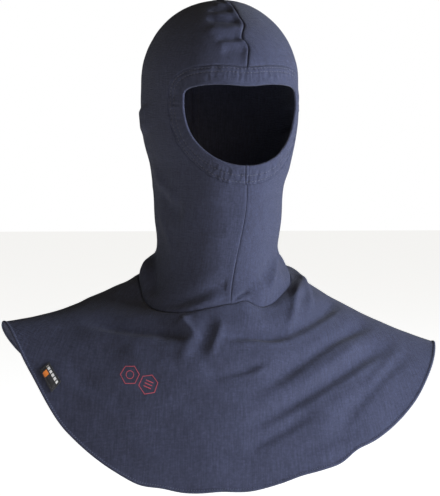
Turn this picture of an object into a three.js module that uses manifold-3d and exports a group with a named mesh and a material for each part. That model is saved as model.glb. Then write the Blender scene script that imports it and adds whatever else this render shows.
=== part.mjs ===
// A welder's knitted balaclava in the form it takes when worn: a hood sewn from two halves,
// a turned band round the face opening and a shoulder bib that falls to a rolled hem.
// Millimetres, +Z up. The chest faces -Y and the wearer's left is +X.
// The origin is inside the crown, where the top of the head carries the hood.
import * as THREE from "three";
import { mergeVertices } from "three/addons/utils/BufferGeometryUtils.js";
import Module from "manifold-3d";

const wasm = await Module();
wasm.setup();

// Cloth thickness, and the gap between pieces that meet
const HOOD_WALL = 1.6;
const BIB_WALL = 1.6;
const LABEL_WALL = 1;
const SEAM_GAP = 0.3;

// Hood: the crown is a dome down to the brow, and level sections follow from there to the neckline.
// side, front and back are reaches from the hood's axis, drop is the distance below the crown,
// dip is how much lower the front hangs than the side, lean shifts the section towards +X,
// and turn is how far the face looks towards the wearer's left, in degrees.
const DOME_HEIGHT = 88;
const HOOD_SECTIONS = [
  { level: 0, side: 82.5, front: 104, back: 94, drop: 88, dip: 0, lean: -1, turn: 13 },
  { level: 1, side: 83, front: 104, back: 97, drop: 118, dip: 0, lean: -0.5, turn: 13 },
  { level: 2, side: 80, front: 103, back: 94, drop: 150, dip: 0, lean: -1, turn: 13 },
  { level: 3, side: 73, front: 101, back: 87, drop: 178, dip: 1, lean: -1, turn: 13 },
  { level: 4, side: 68, front: 98, back: 80, drop: 204, dip: 2, lean: -3, turn: 12 },
  { level: 5, side: 67, front: 93, back: 75, drop: 233, dip: 5, lean: -3, turn: 10 },
  { level: 6, side: 64, front: 88, back: 74, drop: 263, dip: 8, lean: -3, turn: 8 },
  { level: 7, side: 68.5, front: 86, back: 82, drop: 286, dip: 12, lean: -4, turn: 7 },
  { level: 8, side: 84, front: 84, back: 90, drop: 308, dip: 15, lean: -5, turn: 6 },
];
const NECK_LEVEL = HOOD_SECTIONS.at(-1).level;

// The centre seam is worn a little off the middle of the face: its turn at the front, in degrees
const SEAM_TURN = 1.5;

// The neckline seam hangs uneven: how much lower it lies at each turn from the middle of the face
const SAG_FROM_LEVEL = 5.5;
const NECKLINE_SAG = [
  { turn: -180, drop: 0 },
  { turn: -120, drop: -6 },
  { turn: -95, drop: -6 },
  { turn: -78, drop: 8 },
  { turn: -62, drop: 13 },
  { turn: -35, drop: 10 },
  { turn: -13, drop: 1.5 },
  { turn: 0, drop: -2 },
  { turn: 33, drop: 2 },
  { turn: 50, drop: -5 },
  { turn: 75, drop: -10 },
  { turn: 125, drop: -16 },
  { turn: 180, drop: 0 },
];

// Face opening, laid flat: half its width, and how far it reaches above and below its widest place.
// The corner values are the powers of the curves above and below, where 2 is an ellipse.
// Above the chin the opening is shifted to the wearer's left.
const FACE_RADIUS = 90;
const FACE_HALF_WIDTH = 78;
const FACE_SHIFT = 5;
const FACE_DROP = 106;
const FACE_RISE = 14;
const FACE_FALL = 70;
const FACE_TOP_CORNER = 3.4;
const FACE_BOTTOM_CORNER = 2.15;

// Face band: across is the share of its width from the opening's edge to its seam,
// outer and inner are the heights of its two sides over the hood's outer side
const BAND_WIDTH = 20;
const BAND_SECTION = [
  { across: 0, outer: -0.4, inner: -1.4 },
  { across: 0.06, outer: 0.7, inner: -2.2 },
  { across: 0.5, outer: 0.9, inner: -2.2 },
  { across: 0.92, outer: 0.7, inner: -2.2 },
  { across: 1, outer: -0.2, inner: -1.8 },
];

// Bib: a curve at each turn leads from the neckline to the hem, bent by the shoulder ring.
// side, front and back are the rings' reaches, shoulder and hem are drops below the crown.
// The hem is a bead of rolled cloth, and the cloth falls the shortest way over the shoulders.
const SHOULDER_RING = { side: 150, front: 122, back: 132 };
const HEM_RING = { side: 235, front: 134, back: 150 };
const BIB_STATIONS = [
  { turn: -180, shoulder: 316, hem: 466 },
  { turn: -150, shoulder: 320, hem: 448 },
  { turn: -120, shoulder: 328, hem: 396 },
  { turn: -90, shoulder: 327, hem: 349 },
  { turn: -75, shoulder: 330, hem: 349 },
  { turn: -60, shoulder: 335, hem: 393 },
  { turn: -45, shoulder: 349, hem: 452 },
  { turn: -22, shoulder: 372, hem: 504 },
  { turn: 0, shoulder: 384, hem: 511 },
  { turn: 22, shoulder: 378, hem: 494 },
  { turn: 45, shoulder: 364, hem: 458 },
  { turn: 60, shoulder: 352, hem: 427 },
  { turn: 75, shoulder: 347, hem: 392 },
  { turn: 90, shoulder: 343, hem: 370 },
  { turn: 120, shoulder: 334, hem: 398 },
  { turn: 150, shoulder: 321, hem: 450 },
  { turn: 180, shoulder: 316, hem: 466 },
];
const HEM_BEAD = 0.6;
const HEM_START = 0.97;
const SHORTEST_FALL = 150;

// Folds and dents: a path between two places on the cloth, bowed in the middle,
// pushed out by lift over a width that fades to both sides. They run out softly over a share of
// their length at both ends, and near the neckline seam they all fade.
const FOLD_RUN_OUT = 0.28;
const HOOD_FADE = 0.3;
const BIB_FADE = 0.07;
const HOOD_FOLDS = [
  // ears
  { fromTurn: -95, fromPlace: 0.8, toTurn: -92, toPlace: 1.8, bow: 0, width: 20, lift: 4 },
  { fromTurn: 95, fromPlace: 0.8, toTurn: 92, toPlace: 1.8, bow: 0, width: 20, lift: 3 },
  // slack below the jaw on the wearer's right
  { fromTurn: -92, fromPlace: 2.8, toTurn: -56, toPlace: 4.3, bow: 0.3, width: 8, lift: 3 },
  { fromTurn: -80, fromPlace: 3.8, toTurn: -48, toPlace: 4.8, bow: 0.2, width: 10, lift: -3 },
  // the slouch that rolls over the neckline, and the valley above it
  { fromTurn: -160, fromPlace: 7.2, toTurn: -74, toPlace: 7.5, bow: 0, width: 10, lift: 5 },
  { fromTurn: -108, fromPlace: 6.7, toTurn: -64, toPlace: 7.65, bow: 0, width: 8, lift: -4.5 },
  { fromTurn: -58, fromPlace: 7.9, toTurn: 0, toPlace: 7.0, bow: -0.1, width: 9, lift: -4 },
  { fromTurn: -54, fromPlace: 8.05, toTurn: -4, toPlace: 7.62, bow: -0.02, width: 7, lift: 3.5 },
  { fromTurn: 80, fromPlace: 7.2, toTurn: 150, toPlace: 7.2, bow: 0, width: 11, lift: 4 },
  { fromTurn: 14, fromPlace: 7.4, toTurn: 66, toPlace: 7.2, bow: 0, width: 10, lift: 4 },
];
const BIB_FOLDS = [
  // long pleats that fan out from the wearer's left shoulder
  { fromTurn: -14, fromPlace: 0.215, toTurn: 98, toPlace: 0.33, bow: -0.01, width: 11, lift: -6 },
  { fromTurn: 2, fromPlace: 0.6, toTurn: 88, toPlace: 0.585, bow: -0.147, width: 12, lift: -7 },
  { fromTurn: -2, fromPlace: 0.77, toTurn: 82, toPlace: 0.72, bow: -0.115, width: 12, lift: -7 },
  { fromTurn: 2, fromPlace: 0.84, toTurn: 32, toPlace: 0.72, bow: 0, width: 10, lift: -4 },
  { fromTurn: 28, fromPlace: 0.89, toTurn: 80, toPlace: 0.86, bow: -0.087, width: 11, lift: -4.5 },
  // slack under the neckline on the wearer's right, and the short folds beside it
  { fromTurn: -72, fromPlace: 0.58, toTurn: -14, toPlace: 0.19, bow: -0.12, width: 12, lift: -6 },
  { fromTurn: -70, fromPlace: 0.68, toTurn: -16, toPlace: 0.28, bow: -0.12, width: 11, lift: 3 },
  { fromTurn: -8, fromPlace: 0.04, toTurn: -15, toPlace: 0.4, bow: 0, width: 8, lift: -3.5 },
  { fromTurn: -33, fromPlace: 0.06, toTurn: -16, toPlace: 0.27, bow: 0, width: 8, lift: 4 },
  { fromTurn: -13, fromPlace: 0.43, toTurn: 15, toPlace: 0.43, bow: 0.03, width: 9, lift: -3 },
  // the standing fold round the neck on the wearer's left
  { fromTurn: 36, fromPlace: 0.07, toTurn: 140, toPlace: 0.06, bow: 0, width: 8, lift: 4.5 },
  // the folds that hang at the back and over the shoulders
  { fromTurn: 140, fromPlace: 0.1, toTurn: 150, toPlace: 0.8, bow: 0, width: 16, lift: 4 },
  { fromTurn: 172, fromPlace: 0.15, toTurn: 176, toPlace: 0.85, bow: 0, width: 15, lift: -4 },
  { fromTurn: -160, fromPlace: 0.1, toTurn: -154, toPlace: 0.85, bow: 0, width: 16, lift: 4 },
  { fromTurn: -128, fromPlace: 0.15, toTurn: -124, toPlace: 0.7, bow: 0, width: 13, lift: -3 },
  { fromTurn: 118, fromPlace: 0.2, toTurn: 122, toPlace: 0.75, bow: 0, width: 12, lift: -3 },
];

// Grid steps, and the small steps that slopes, fold paths and levels are found with
const HALF_COLUMNS = 19;
const DOME_ROWS = 9;
const ROWS_PER_SECTION = 2.5;
const BAND_STEPS = 52;
const PLUG_RINGS = 4;
const PLUG_REACH = 5;
const BIB_COLUMNS = 76;
const BIB_ROWS = 14;
const FRONT_CROWDING = 20;
const SLOPE_TURN = 1;
const SLOPE_PLACE = 0.01;
const FOLD_STEPS = 10;
const HALVINGS = 40;

// The woven label sewn near the hem: its place on the bib, its size and its clearance
const LABEL_TURN = -56;
const LABEL_PLACE = 0.91;
const LABEL_LENGTH = 27;
const LABEL_WIDTH = 14;
const LABEL_GAP = 0.5;
const LABEL_COLUMNS = 5;
const LABEL_ROWS = 3;

const FULL_TURN = 360;
const CROWN_TOP = HOOD_WALL;
const UP = new THREE.Vector3(0, 0, 1);

// The value of one column of a table between its rows, on a smooth curve through them.
// A table of turns closes on itself at the back, so its curve is level there.
function between(rows, key, column, at) {
  const last = rows.length - 1;
  let k = 0;
  while (k < last - 1 && at > rows[k + 1][key]) k += 1;
  const slopeAt = (row) => {
    if (key === "turn" && (row === 0 || row === last)) return 0;
    const before = rows[Math.max(row - 1, 0)];
    const after = rows[Math.min(row + 1, last)];
    return (after[column] - before[column]) / (after[key] - before[key]);
  };
  const span = rows[k + 1][key] - rows[k][key];
  const t = (at - rows[k][key]) / span;
  const rise = rows[k + 1][column] - rows[k][column];
  const start = slopeAt(k) * span;
  const end = slopeAt(k + 1) * span;
  const cubic = start + end - 2 * rise;
  const square = 3 * rise - 2 * start - end;
  return rows[k][column] + t * (start + t * (square + t * cubic));
}

// Evenly spaced numbers from one value to another
function spread(from, to, steps) {
  return Array.from({ length: steps + 1 }, (unused, k) => THREE.MathUtils.lerp(from, to, k / steps));
}

// A point on an oval about the vertical axis, with its own reach to the side, front and back
function ovalPoint(ring, turn, height) {
  const angle = THREE.MathUtils.degToRad(turn);
  const depth = Math.cos(angle) > 0 ? ring.front : ring.back;
  return new THREE.Vector3(ring.side * Math.sin(angle), -depth * Math.cos(angle), height);
}

// The hood's smooth outer side, at a turn from the middle of the face and a level from -1, the crown
function hoodBase(turn, level) {
  const row = Math.max(level, 0);
  const value = (column) => between(HOOD_SECTIONS, "level", column, row);
  const dome = (Math.min(level, 0) + 1) * Math.PI / 2;
  const closing = Math.sin(dome);
  const facing = Math.cos(THREE.MathUtils.degToRad(turn));
  const sagging = THREE.MathUtils.smoothstep(level, SAG_FROM_LEVEL, NECK_LEVEL);
  const sag = between(NECKLINE_SAG, "turn", "drop", turn) * sagging;
  const height = CROWN_TOP + DOME_HEIGHT * Math.cos(dome) - value("drop") - value("dip") * facing - sag;
  const ring = { side: value("side"), front: value("front"), back: value("back") };
  const point = ovalPoint(ring, turn, height);
  point.x = (point.x + value("lean")) * closing;
  point.y *= closing;
  return point.applyAxisAngle(UP, THREE.MathUtils.degToRad(value("turn")));
}

// The bib's smooth outer side, at a turn and a place from 0, the neckline, to 1, the hem
function bibBase(turn, place) {
  const height = (column) => CROWN_TOP - between(BIB_STATIONS, "turn", column, turn);
  const neck = hoodBase(turn, NECK_LEVEL);
  const shoulder = ovalPoint(SHOULDER_RING, turn, height("shoulder"));
  const hem = ovalPoint(HEM_RING, turn, height("hem"));
  return new THREE.QuadraticBezierCurve3(neck, shoulder, hem).getPoint(place);
}

// The outward direction of a surface, from its slopes along both of its measures
function outward(base, turn, place) {
  const across = base(turn + SLOPE_TURN, place).sub(base(turn - SLOPE_TURN, place));
  const down = base(turn, place + SLOPE_PLACE).sub(base(turn, place - SLOPE_PLACE));
  const normal = down.cross(across);
  return normal.lengthSq() > 0 ? normal.normalize() : UP.clone();
}

// A fold as a line of points on the smooth cloth
function foldPath(base, fold) {
  return spread(0, 1, FOLD_STEPS).map((t) => {
    const turn = THREE.MathUtils.lerp(fold.fromTurn, fold.toTurn, t);
    const place = THREE.MathUtils.lerp(fold.fromPlace, fold.toPlace, t) + fold.bow * Math.sin(Math.PI * t);
    return base(turn, place);
  });
}

// How far a fold pushes a point of the cloth outwards: full along its path, tapering to both ends
function foldLift(fold, path, point) {
  const segment = new THREE.Line3();
  const nearest = new THREE.Vector3();
  let best = Infinity;
  let along = 0;
  for (let k = 0; k < path.length - 1; k++) {
    segment.set(path[k], path[k + 1]);
    const t = segment.closestPointToPointParameter(point, true);
    const distance = segment.at(t, nearest).distanceTo(point);
    if (distance < best) {
      best = distance;
      along = (k + t) / (path.length - 1);
    }
  }
  const runOut = (share) => THREE.MathUtils.smoothstep(share, 0, FOLD_RUN_OUT);
  return fold.lift * runOut(along) * runOut(1 - along) * Math.exp(-((best / fold.width) ** 2));
}

// A cloth surface: its smooth form with its folds pushed in and out, fading to nothing at its seam
function clothSurface(base, folds, fade) {
  const paths = folds.map((fold) => foldPath(base, fold));
  return (turn, place, height) => {
    const point = base(turn, place);
    const lift = folds.reduce((sum, fold, k) => sum + foldLift(fold, paths[k], point), 0);
    return point.addScaledVector(outward(base, turn, place), lift * fade(place) + height);
  };
}

const hoodFade = (level) => THREE.MathUtils.smoothstep(NECK_LEVEL - level, 0, HOOD_FADE);
const hoodSurface = clothSurface(hoodBase, HOOD_FOLDS, hoodFade);
const bibFade = (place) => THREE.MathUtils.smoothstep(place, 0, BIB_FADE);
const bibSurface = clothSurface(bibBase, BIB_FOLDS, bibFade);

// A closed wall between a grid of outer points and the matching grid of inner points.
// Rows run down or outwards, columns to the right. A ring joins its last column to its first.
function wallGeometry(outer, inner, isRing) {
  const corners = [];
  const quad = (a, b, c, d) => corners.push(a, b, c, a, c, d);
  const end = outer.length - 1;
  const columns = outer[0].length;
  const spans = isRing ? columns : columns - 1;
  for (let k = 0; k < spans; k++) {
    const next = (k + 1) % columns;
    for (let r = 0; r < end; r++) {
      quad(outer[r][k], outer[r + 1][k], outer[r + 1][next], outer[r][next]);
      quad(inner[r][k], inner[r][next], inner[r + 1][next], inner[r + 1][k]);
    }
    quad(outer[0][k], outer[0][next], inner[0][next], inner[0][k]);
    quad(outer[end][next], outer[end][k], inner[end][k], inner[end][next]);
  }
  for (let r = 0; r < end && !isRing; r++) {
    quad(outer[r + 1][0], outer[r][0], inner[r][0], inner[r + 1][0]);
    quad(outer[r][spans], outer[r + 1][spans], inner[r + 1][spans], inner[r][spans]);
  }
  return closedGeometry(corners);
}

// Shared points are merged, and triangles that a pole closes to a line are dropped
function closedGeometry(corners) {
  const merged = mergeVertices(new THREE.BufferGeometry().setFromPoints(corners));
  const index = merged.getIndex().array;
  const kept = [];
  for (let k = 0; k < index.length; k += 3) {
    const [a, b, c] = index.subarray(k, k + 3);
    if (a !== b && b !== c && c !== a) kept.push(a, b, c);
  }
  merged.setIndex(kept);
  return merged;
}

function toSolid(geometry) {
  const vertProperties = new Float32Array(geometry.getAttribute("position").array);
  const triVerts = new Uint32Array(geometry.getIndex().array);
  return new wasm.Manifold(new wasm.Mesh({ numProp: 3, vertProperties, triVerts }));
}

function toGeometry(solid) {
  const mesh = solid.getMesh();
  const geometry = new THREE.BufferGeometry();
  geometry.setAttribute("position", new THREE.BufferAttribute(mesh.vertProperties, 3));
  geometry.setIndex(new THREE.BufferAttribute(mesh.triVerts, 1));
  return geometry;
}

// The face opening's edge laid flat, evenly spaced, counter-clockwise from the chin as seen from the front
function faceEdge() {
  const power = (value, corner) => Math.sign(value) * Math.abs(value) ** (2 / corner);
  const samples = spread(0, 2 * Math.PI, FULL_TURN).slice(0, -1).map((angle) => {
    const low = Math.cos(angle) > 0;
    const corner = low ? FACE_BOTTOM_CORNER : FACE_TOP_CORNER;
    const up = -power(Math.cos(angle), corner) * (low ? FACE_FALL : FACE_RISE);
    const shift = FACE_SHIFT * THREE.MathUtils.clamp(1 + up / FACE_FALL, 0, 1);
    return new THREE.Vector3(FACE_HALF_WIDTH * power(Math.sin(angle), corner) + shift, up, 0);
  });
  return new THREE.CatmullRomCurve3(samples, true).getSpacedPoints(BAND_STEPS).slice(0, -1);
}

// The level at which the hood passes a height, found by halving
function levelAt(turn, height) {
  let low = -1;
  let high = NECK_LEVEL;
  for (let k = 0; k < HALVINGS; k++) {
    const middle = (low + high) / 2;
    if (hoodBase(turn, middle).z > height) low = middle;
    else high = middle;
  }
  return low;
}

// A place of the flat face outline on the hood, raised over its outer side
function facePoint(flat, height) {
  const turn = THREE.MathUtils.radToDeg(flat.x / FACE_RADIUS);
  return hoodSurface(turn, levelAt(turn, CROWN_TOP - FACE_DROP + flat.y), height);
}

// The face edge set outwards by a distance in the flat outline
function faceOutline(distance) {
  const edge = faceEdge();
  return edge.map((point, k) => {
    const along = edge[(k + 1) % edge.length].clone().sub(edge.at(k - 1)).normalize();
    return point.clone().add(new THREE.Vector3(along.y, -along.x, 0).multiplyScalar(distance));
  });
}

function faceBand() {
  const side = (column) => BAND_SECTION.map((row) => {
    return faceOutline(row.across * BAND_WIDTH).map((flat) => facePoint(flat, row[column]));
  });
  return wallGeometry(side("outer"), side("inner"), true);
}

// A plug that fills the face out to the band's seam and stands proud of both sides of the hood
function facePlug() {
  const seam = faceOutline(BAND_WIDTH + SEAM_GAP);
  const side = (height) => spread(0, 1, PLUG_RINGS).map((share) => {
    return seam.map((flat) => facePoint(flat.clone().multiplyScalar(share), height));
  });
  return toSolid(wallGeometry(side(PLUG_REACH), side(-PLUG_REACH), true));
}

// Half of the hood, from one turn to another, with the face cut out
function hoodHalf(fromTurn, toTurn, plug) {
  const turns = spread(fromTurn, toTurn, HALF_COLUMNS);
  const dome = spread(-1, 0, DOME_ROWS).slice(0, -1);
  const levels = [...dome, ...spread(0, NECK_LEVEL, NECK_LEVEL * ROWS_PER_SECTION)];
  const grid = (height) => levels.map((level) => turns.map((turn) => hoodSurface(turn, level, height)));
  return toGeometry(toSolid(wallGeometry(grid(0), grid(-HOOD_WALL), false)).subtract(plug));
}

// The bib's columns stand closer together across the chest, where its folds are
function bib() {
  const turns = spread(-0.5, 0.5, BIB_COLUMNS).slice(0, -1).map((share) => {
    return FULL_TURN * share - FRONT_CROWDING * Math.sin(2 * Math.PI * share);
  });
  const hemMiddle = (1 + HEM_START) / 2;
  const seam = SEAM_GAP / SHORTEST_FALL;
  const places = [...spread(seam, HEM_START, BIB_ROWS), hemMiddle, 1];
  const bead = (place) => (place === hemMiddle ? HEM_BEAD : 0);
  const outer = places.map((place) => turns.map((turn) => bibSurface(turn, place, bead(place))));
  const inner = places.map((place) => turns.map((turn) => bibSurface(turn, place, -BIB_WALL - bead(place))));
  return wallGeometry(outer, inner, true);
}

// The label lies along the hem, clear of the bib by its gap
function sideLabel() {
  const middle = bibBase(LABEL_TURN, LABEL_PLACE);
  const perTurn = bibBase(LABEL_TURN + SLOPE_TURN, LABEL_PLACE).distanceTo(middle) / SLOPE_TURN;
  const perPlace = bibBase(LABEL_TURN, LABEL_PLACE + SLOPE_PLACE).distanceTo(middle) / SLOPE_PLACE;
  const halfTurn = LABEL_LENGTH / perTurn / 2;
  const halfPlace = LABEL_WIDTH / perPlace / 2;
  const turns = spread(LABEL_TURN - halfTurn, LABEL_TURN + halfTurn, LABEL_COLUMNS);
  const places = spread(LABEL_PLACE - halfPlace, LABEL_PLACE + halfPlace, LABEL_ROWS);
  const grid = (height) => places.map((place) => turns.map((turn) => bibSurface(turn, place, height)));
  return wallGeometry(grid(LABEL_GAP + LABEL_WALL), grid(LABEL_GAP), false);
}

function piece(name, geometry, colour, roughness) {
  const material = new THREE.MeshStandardMaterial({ color: colour, roughness, metalness: 0 });
  const mesh = new THREE.Mesh(geometry, material);
  mesh.name = name;
  return mesh;
}

const KNIT_NAVY = 0x2c3040;
const BAND_NAVY = 0x292d3c;
const LABEL_BLACK = 0x17181c;

const plug = facePlug();
const balaclava = new THREE.Group();
const right = piece("hood_right", hoodHalf(-FULL_TURN / 2, SEAM_TURN, plug), KNIT_NAVY, 0.9);
right.position.x = -SEAM_GAP / 2;
const left = piece("hood_left", hoodHalf(SEAM_TURN, FULL_TURN / 2, plug), KNIT_NAVY, 0.9);
left.position.x = SEAM_GAP / 2;
balaclava.add(right, left);
balaclava.add(piece("face_band", faceBand(), BAND_NAVY, 0.9));
balaclava.add(piece("bib", bib(), KNIT_NAVY, 0.9));
balaclava.add(piece("side_label", sideLabel(), LABEL_BLACK, 0.7));

export default balaclava;
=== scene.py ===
"""A knitted welding balaclava: the looks of its hood, face band, shoulder bib and label.

Sizes are in millimetres and degrees, and a mesh is written in metres. The chest faces -Y, the wearer's
left is +X and the origin is inside the crown. A place on the cloth has a turn about the head, from the
middle of the face towards the wearer's left, and a level on the hood or a place on the bib, which grow
downwards.
"""
import logging
import math
from dataclasses import dataclass, field, fields
from enum import Enum
from typing import Any, Iterable, Sequence

import bmesh
import bpy
import numpy as np
from mathutils import Matrix, Vector, noise


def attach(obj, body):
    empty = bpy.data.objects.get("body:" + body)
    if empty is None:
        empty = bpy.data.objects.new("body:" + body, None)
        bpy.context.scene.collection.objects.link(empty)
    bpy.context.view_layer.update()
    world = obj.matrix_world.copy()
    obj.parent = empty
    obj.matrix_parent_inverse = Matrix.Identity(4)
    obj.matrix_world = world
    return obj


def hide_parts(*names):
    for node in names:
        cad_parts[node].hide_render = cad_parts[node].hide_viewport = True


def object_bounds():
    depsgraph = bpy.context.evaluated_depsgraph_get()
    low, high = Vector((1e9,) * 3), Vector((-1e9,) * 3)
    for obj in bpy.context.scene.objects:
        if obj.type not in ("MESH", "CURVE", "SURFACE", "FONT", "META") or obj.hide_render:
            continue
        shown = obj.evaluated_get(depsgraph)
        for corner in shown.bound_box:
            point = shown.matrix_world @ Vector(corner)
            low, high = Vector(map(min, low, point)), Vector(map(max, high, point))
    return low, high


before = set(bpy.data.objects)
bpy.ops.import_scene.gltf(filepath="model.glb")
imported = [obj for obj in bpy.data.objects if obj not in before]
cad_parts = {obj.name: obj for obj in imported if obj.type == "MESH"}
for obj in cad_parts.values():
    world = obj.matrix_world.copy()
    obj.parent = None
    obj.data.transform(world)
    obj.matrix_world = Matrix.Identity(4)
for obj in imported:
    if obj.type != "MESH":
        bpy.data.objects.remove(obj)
CAD_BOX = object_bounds()

log = logging.getLogger("balaclava")
Array = np.ndarray
Colour = tuple[float, float, float]
Mesh = bmesh.types.BMesh
Piece = bpy.types.Object
Socket = bpy.types.NodeSocket

MM = 0.001
BODY = "root"
UV_NAME = "cloth"
UP = np.array([0.0, 0.0, 1.0])
WHITE = (1.0, 1.0, 1.0)
SIDE_TURN = 90.0
BACK_TURN = 180.0
# how far apart a slope is measured, in turns and in levels or places
SLOPE_TURN = 1.0
SLOPE_PLACE = 0.01
FOLD_STEPS = 10
HALVINGS = 40
# a length that counts as none
TINY = 1e-7


@dataclass(frozen=True)
class Section:
    """One ring of the hood: its reaches, its drop below the crown, and how it dips, leans and turns."""

    level: float
    side: float
    front: float
    back: float
    drop: float
    dip: float
    lean: float
    turn: float


@dataclass(frozen=True)
class Station:
    """The drops of the bib's shoulder and hem at one turn."""

    turn: float
    shoulder: float
    hem: float


@dataclass(frozen=True)
class Knot:
    """One point of a smooth curve: where it is, and what the curve gives there."""

    at: float
    value: float


@dataclass(frozen=True)
class Ring:
    """An oval about the neck, by its reaches."""

    side: float | Array
    front: float | Array
    back: float | Array


@dataclass(frozen=True)
class Bump:
    """A rise of given height and width round one turn of an edge."""

    turn: float
    width: float
    height: float


@dataclass(frozen=True)
class Wave:
    """One scale of the cloth's unevenness: the usual distance between two rises, and their height."""

    length: float
    height: float


@dataclass(frozen=True)
class Profile:
    """A broken line of values at rising places, such as a seam's heights at distances from it."""

    at: tuple[float, ...]
    values: tuple[float, ...]

    def __call__(self, at: Array) -> Array:
        """Return the line's values at an array of places."""
        return np.interp(at, self.at, self.values)


HOOD_SECTIONS = (
    Section(0, 82.5, 104, 94, 88, 0, -1, 13),
    Section(1, 83, 104, 97, 118, 0, -0.5, 13),
    Section(2, 80, 103, 94, 150, 0, -1, 13),
    Section(3, 73, 101, 87, 178, 1, -1, 13),
    Section(4, 68, 98, 80, 204, 2, -3, 12),
    Section(5, 67, 93, 75, 233, 5, -3, 10),
    Section(6, 64, 88, 74, 263, 8, -3, 8),
    Section(7, 68.5, 86, 82, 286, 12, -4, 7),
    Section(8, 84, 84, 90, 308, 15, -5, 6),
)
# how much lower the neckline seam lies at each turn
NECKLINE_SAG = (
    Knot(-180, 0), Knot(-120, -6), Knot(-95, -6), Knot(-78, 8), Knot(-62, 13), Knot(-35, 10), Knot(-13, 1.5),
    Knot(0, -2), Knot(33, 2), Knot(50, -5), Knot(75, -10), Knot(125, -16), Knot(180, 0),
)
NECKLINE_TUCKS = (Bump(40, 12, 2), Bump(75, 26, 2.5), Bump(-85, 26, 2))
NECKLINE_BUMPS = (Bump(12, 7, 4.5), Bump(26, 6, -1.5))
# how far the worn centre seam strays from its own turn at each level
SEAM_WANDER = (
    Knot(-1, 0), Knot(-0.75, 0), Knot(-0.55, 0.5), Knot(-0.47, 2.2), Knot(-0.39, -1.8), Knot(-0.33, -3.4),
    Knot(-0.3, -0.8), Knot(-0.25, 1), Knot(-0.18, -0.5), Knot(-0.1, -1.4), Knot(2.9, -1.8), Knot(3.4, -0.4),
    Knot(4.2, 3.4), Knot(4.7, 3.9), Knot(5.5, 2.5), Knot(6.3, 0.6), Knot(7.4, -0.5), Knot(8, 0),
)
SHOULDER_RING = Ring(150, 122, 132)
HEM_RING = Ring(235, 134, 150)
BIB_STATIONS = (
    Station(-180, 316, 466), Station(-150, 320, 448), Station(-120, 328, 396), Station(-90, 327, 349),
    Station(-75, 330, 349), Station(-60, 335, 393), Station(-45, 349, 452), Station(-22, 372, 504),
    Station(0, 384, 511), Station(22, 378, 494), Station(45, 364, 458), Station(60, 352, 427),
    Station(75, 347, 392), Station(90, 343, 370), Station(120, 334, 398), Station(150, 321, 450),
    Station(180, 316, 466),
)
HEM_BUMPS = (
    Bump(36, 4, -2.5), Bump(30, 4, 2), Bump(19, 4, -1.6), Bump(6, 5, 1.5), Bump(-2, 4, -1.2),
    Bump(-17, 4, -2), Bump(-23, 4, 1.2), Bump(120, 14, 3), Bump(150, 12, -3), Bump(-130, 14, 3),
    Bump(-165, 12, -2),
)


class Smooth:
    """A smooth curve through the rows of a table."""

    def __init__(self, rows: Sequence[Any], key: str, column: str, closed: bool = False) -> None:
        """Read one column of a table.

        Args:
            rows: The table's rows, in rising order of the key.
            key: The name of the field that the curve runs along.
            column: The name of the field that the curve gives.
            closed: Whether the curve comes back to its start, level there.
        """
        self.at = np.array([getattr(row, key) for row in rows], float)
        self.values = np.array([getattr(row, column) for row in rows], float)
        index = np.arange(len(rows))
        before, after = np.maximum(index - 1, 0), np.minimum(index + 1, len(rows) - 1)
        self.slopes = (self.values[after] - self.values[before]) / (self.at[after] - self.at[before])
        if closed:
            self.slopes[[0, -1]] = 0.0

    def __call__(self, at: Array) -> Array:
        """Follow the curve.

        Args:
            at: An array of places.

        Returns:
            The curve's value at each place.
        """
        k = np.clip(np.searchsorted(self.at, at) - 1, 0, len(self.at) - 2)
        span = self.at[k + 1] - self.at[k]
        t = (at - self.at[k]) / span
        rise = self.values[k + 1] - self.values[k]
        start, end = self.slopes[k] * span, self.slopes[k + 1] * span
        square, cubic = 3 * rise - 2 * start - end, start + end - 2 * rise
        return self.values[k] + t * (start + t * (square + t * cubic))


def smoothstep(at: Array, low: float, high: float) -> Array:
    """Return a soft step from 0 at low to 1 at high."""
    t = np.clip((at - low) / (high - low), 0, 1)
    return t * t * (3 - 2 * t)


def bell(at: Array, width: float) -> Array:
    """Return a bell curve of height 1 round zero."""
    return np.exp(-((at / width) ** 2))


def bumps_at(bumps: Sequence[Bump], turn: Array) -> Array:
    """Return the summed height of an edge's bumps at each turn."""
    return sum(bump.height * bell(turn - bump.turn, bump.width) for bump in bumps)


def in_front(turn: Array) -> Array:
    """Return which turns lie on the face's side of the head."""
    return np.abs(turn) < SIDE_TURN


def oval(ring: Ring, turn: Array, height: Array) -> Array:
    """Set points on ovals about the vertical axis.

    Args:
        ring: The ovals' reaches, as numbers or arrays.
        turn: The turn of each point.
        height: The height of each point.

    Returns:
        The points, one a row.
    """
    angle = np.radians(turn)
    depth = np.where(np.cos(angle) > 0, ring.front, ring.back)
    return np.stack([ring.side * np.sin(angle), -depth * np.cos(angle), height + 0 * angle], axis=-1)


def unevenness(points: Array, waves: Sequence[Wave]) -> Array:
    """Work out the soft unevenness of worn cloth.

    Args:
        points: The points, one a row.
        waves: The scales that the unevenness has.

    Returns:
        A height for each point.
    """
    height = np.zeros(len(points))
    for wave in waves:
        height += wave.height * np.array([noise.noise(Vector(point)) for point in points / wave.length])
    return height


def unit(vectors: Array) -> Array:
    """Return vectors at length 1."""
    return vectors / np.linalg.norm(vectors, axis=1, keepdims=True)


def lengths(line: Array) -> Array:
    """Return how far along a line each of its points lies."""
    return np.r_[0, np.cumsum(np.linalg.norm(np.diff(line, axis=0), axis=1))]


def along(line: Array, length: Array, at: Array) -> Array:
    """Return what a line has at places along it, with the length at each of its points given."""
    return np.stack([np.interp(at, length, column) for column in line.T], axis=1)


def close_ring(ring: Array) -> Array:
    """Return a ring's points with the first again at the end."""
    return np.vstack([ring, ring[:1]])


def within(path: Array, points: Array, margin: float) -> Array:
    """Return which points lie within a margin of a path's box."""
    return np.all((points > path.min(0) - margin) & (points < path.max(0) + margin), axis=1)


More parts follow.
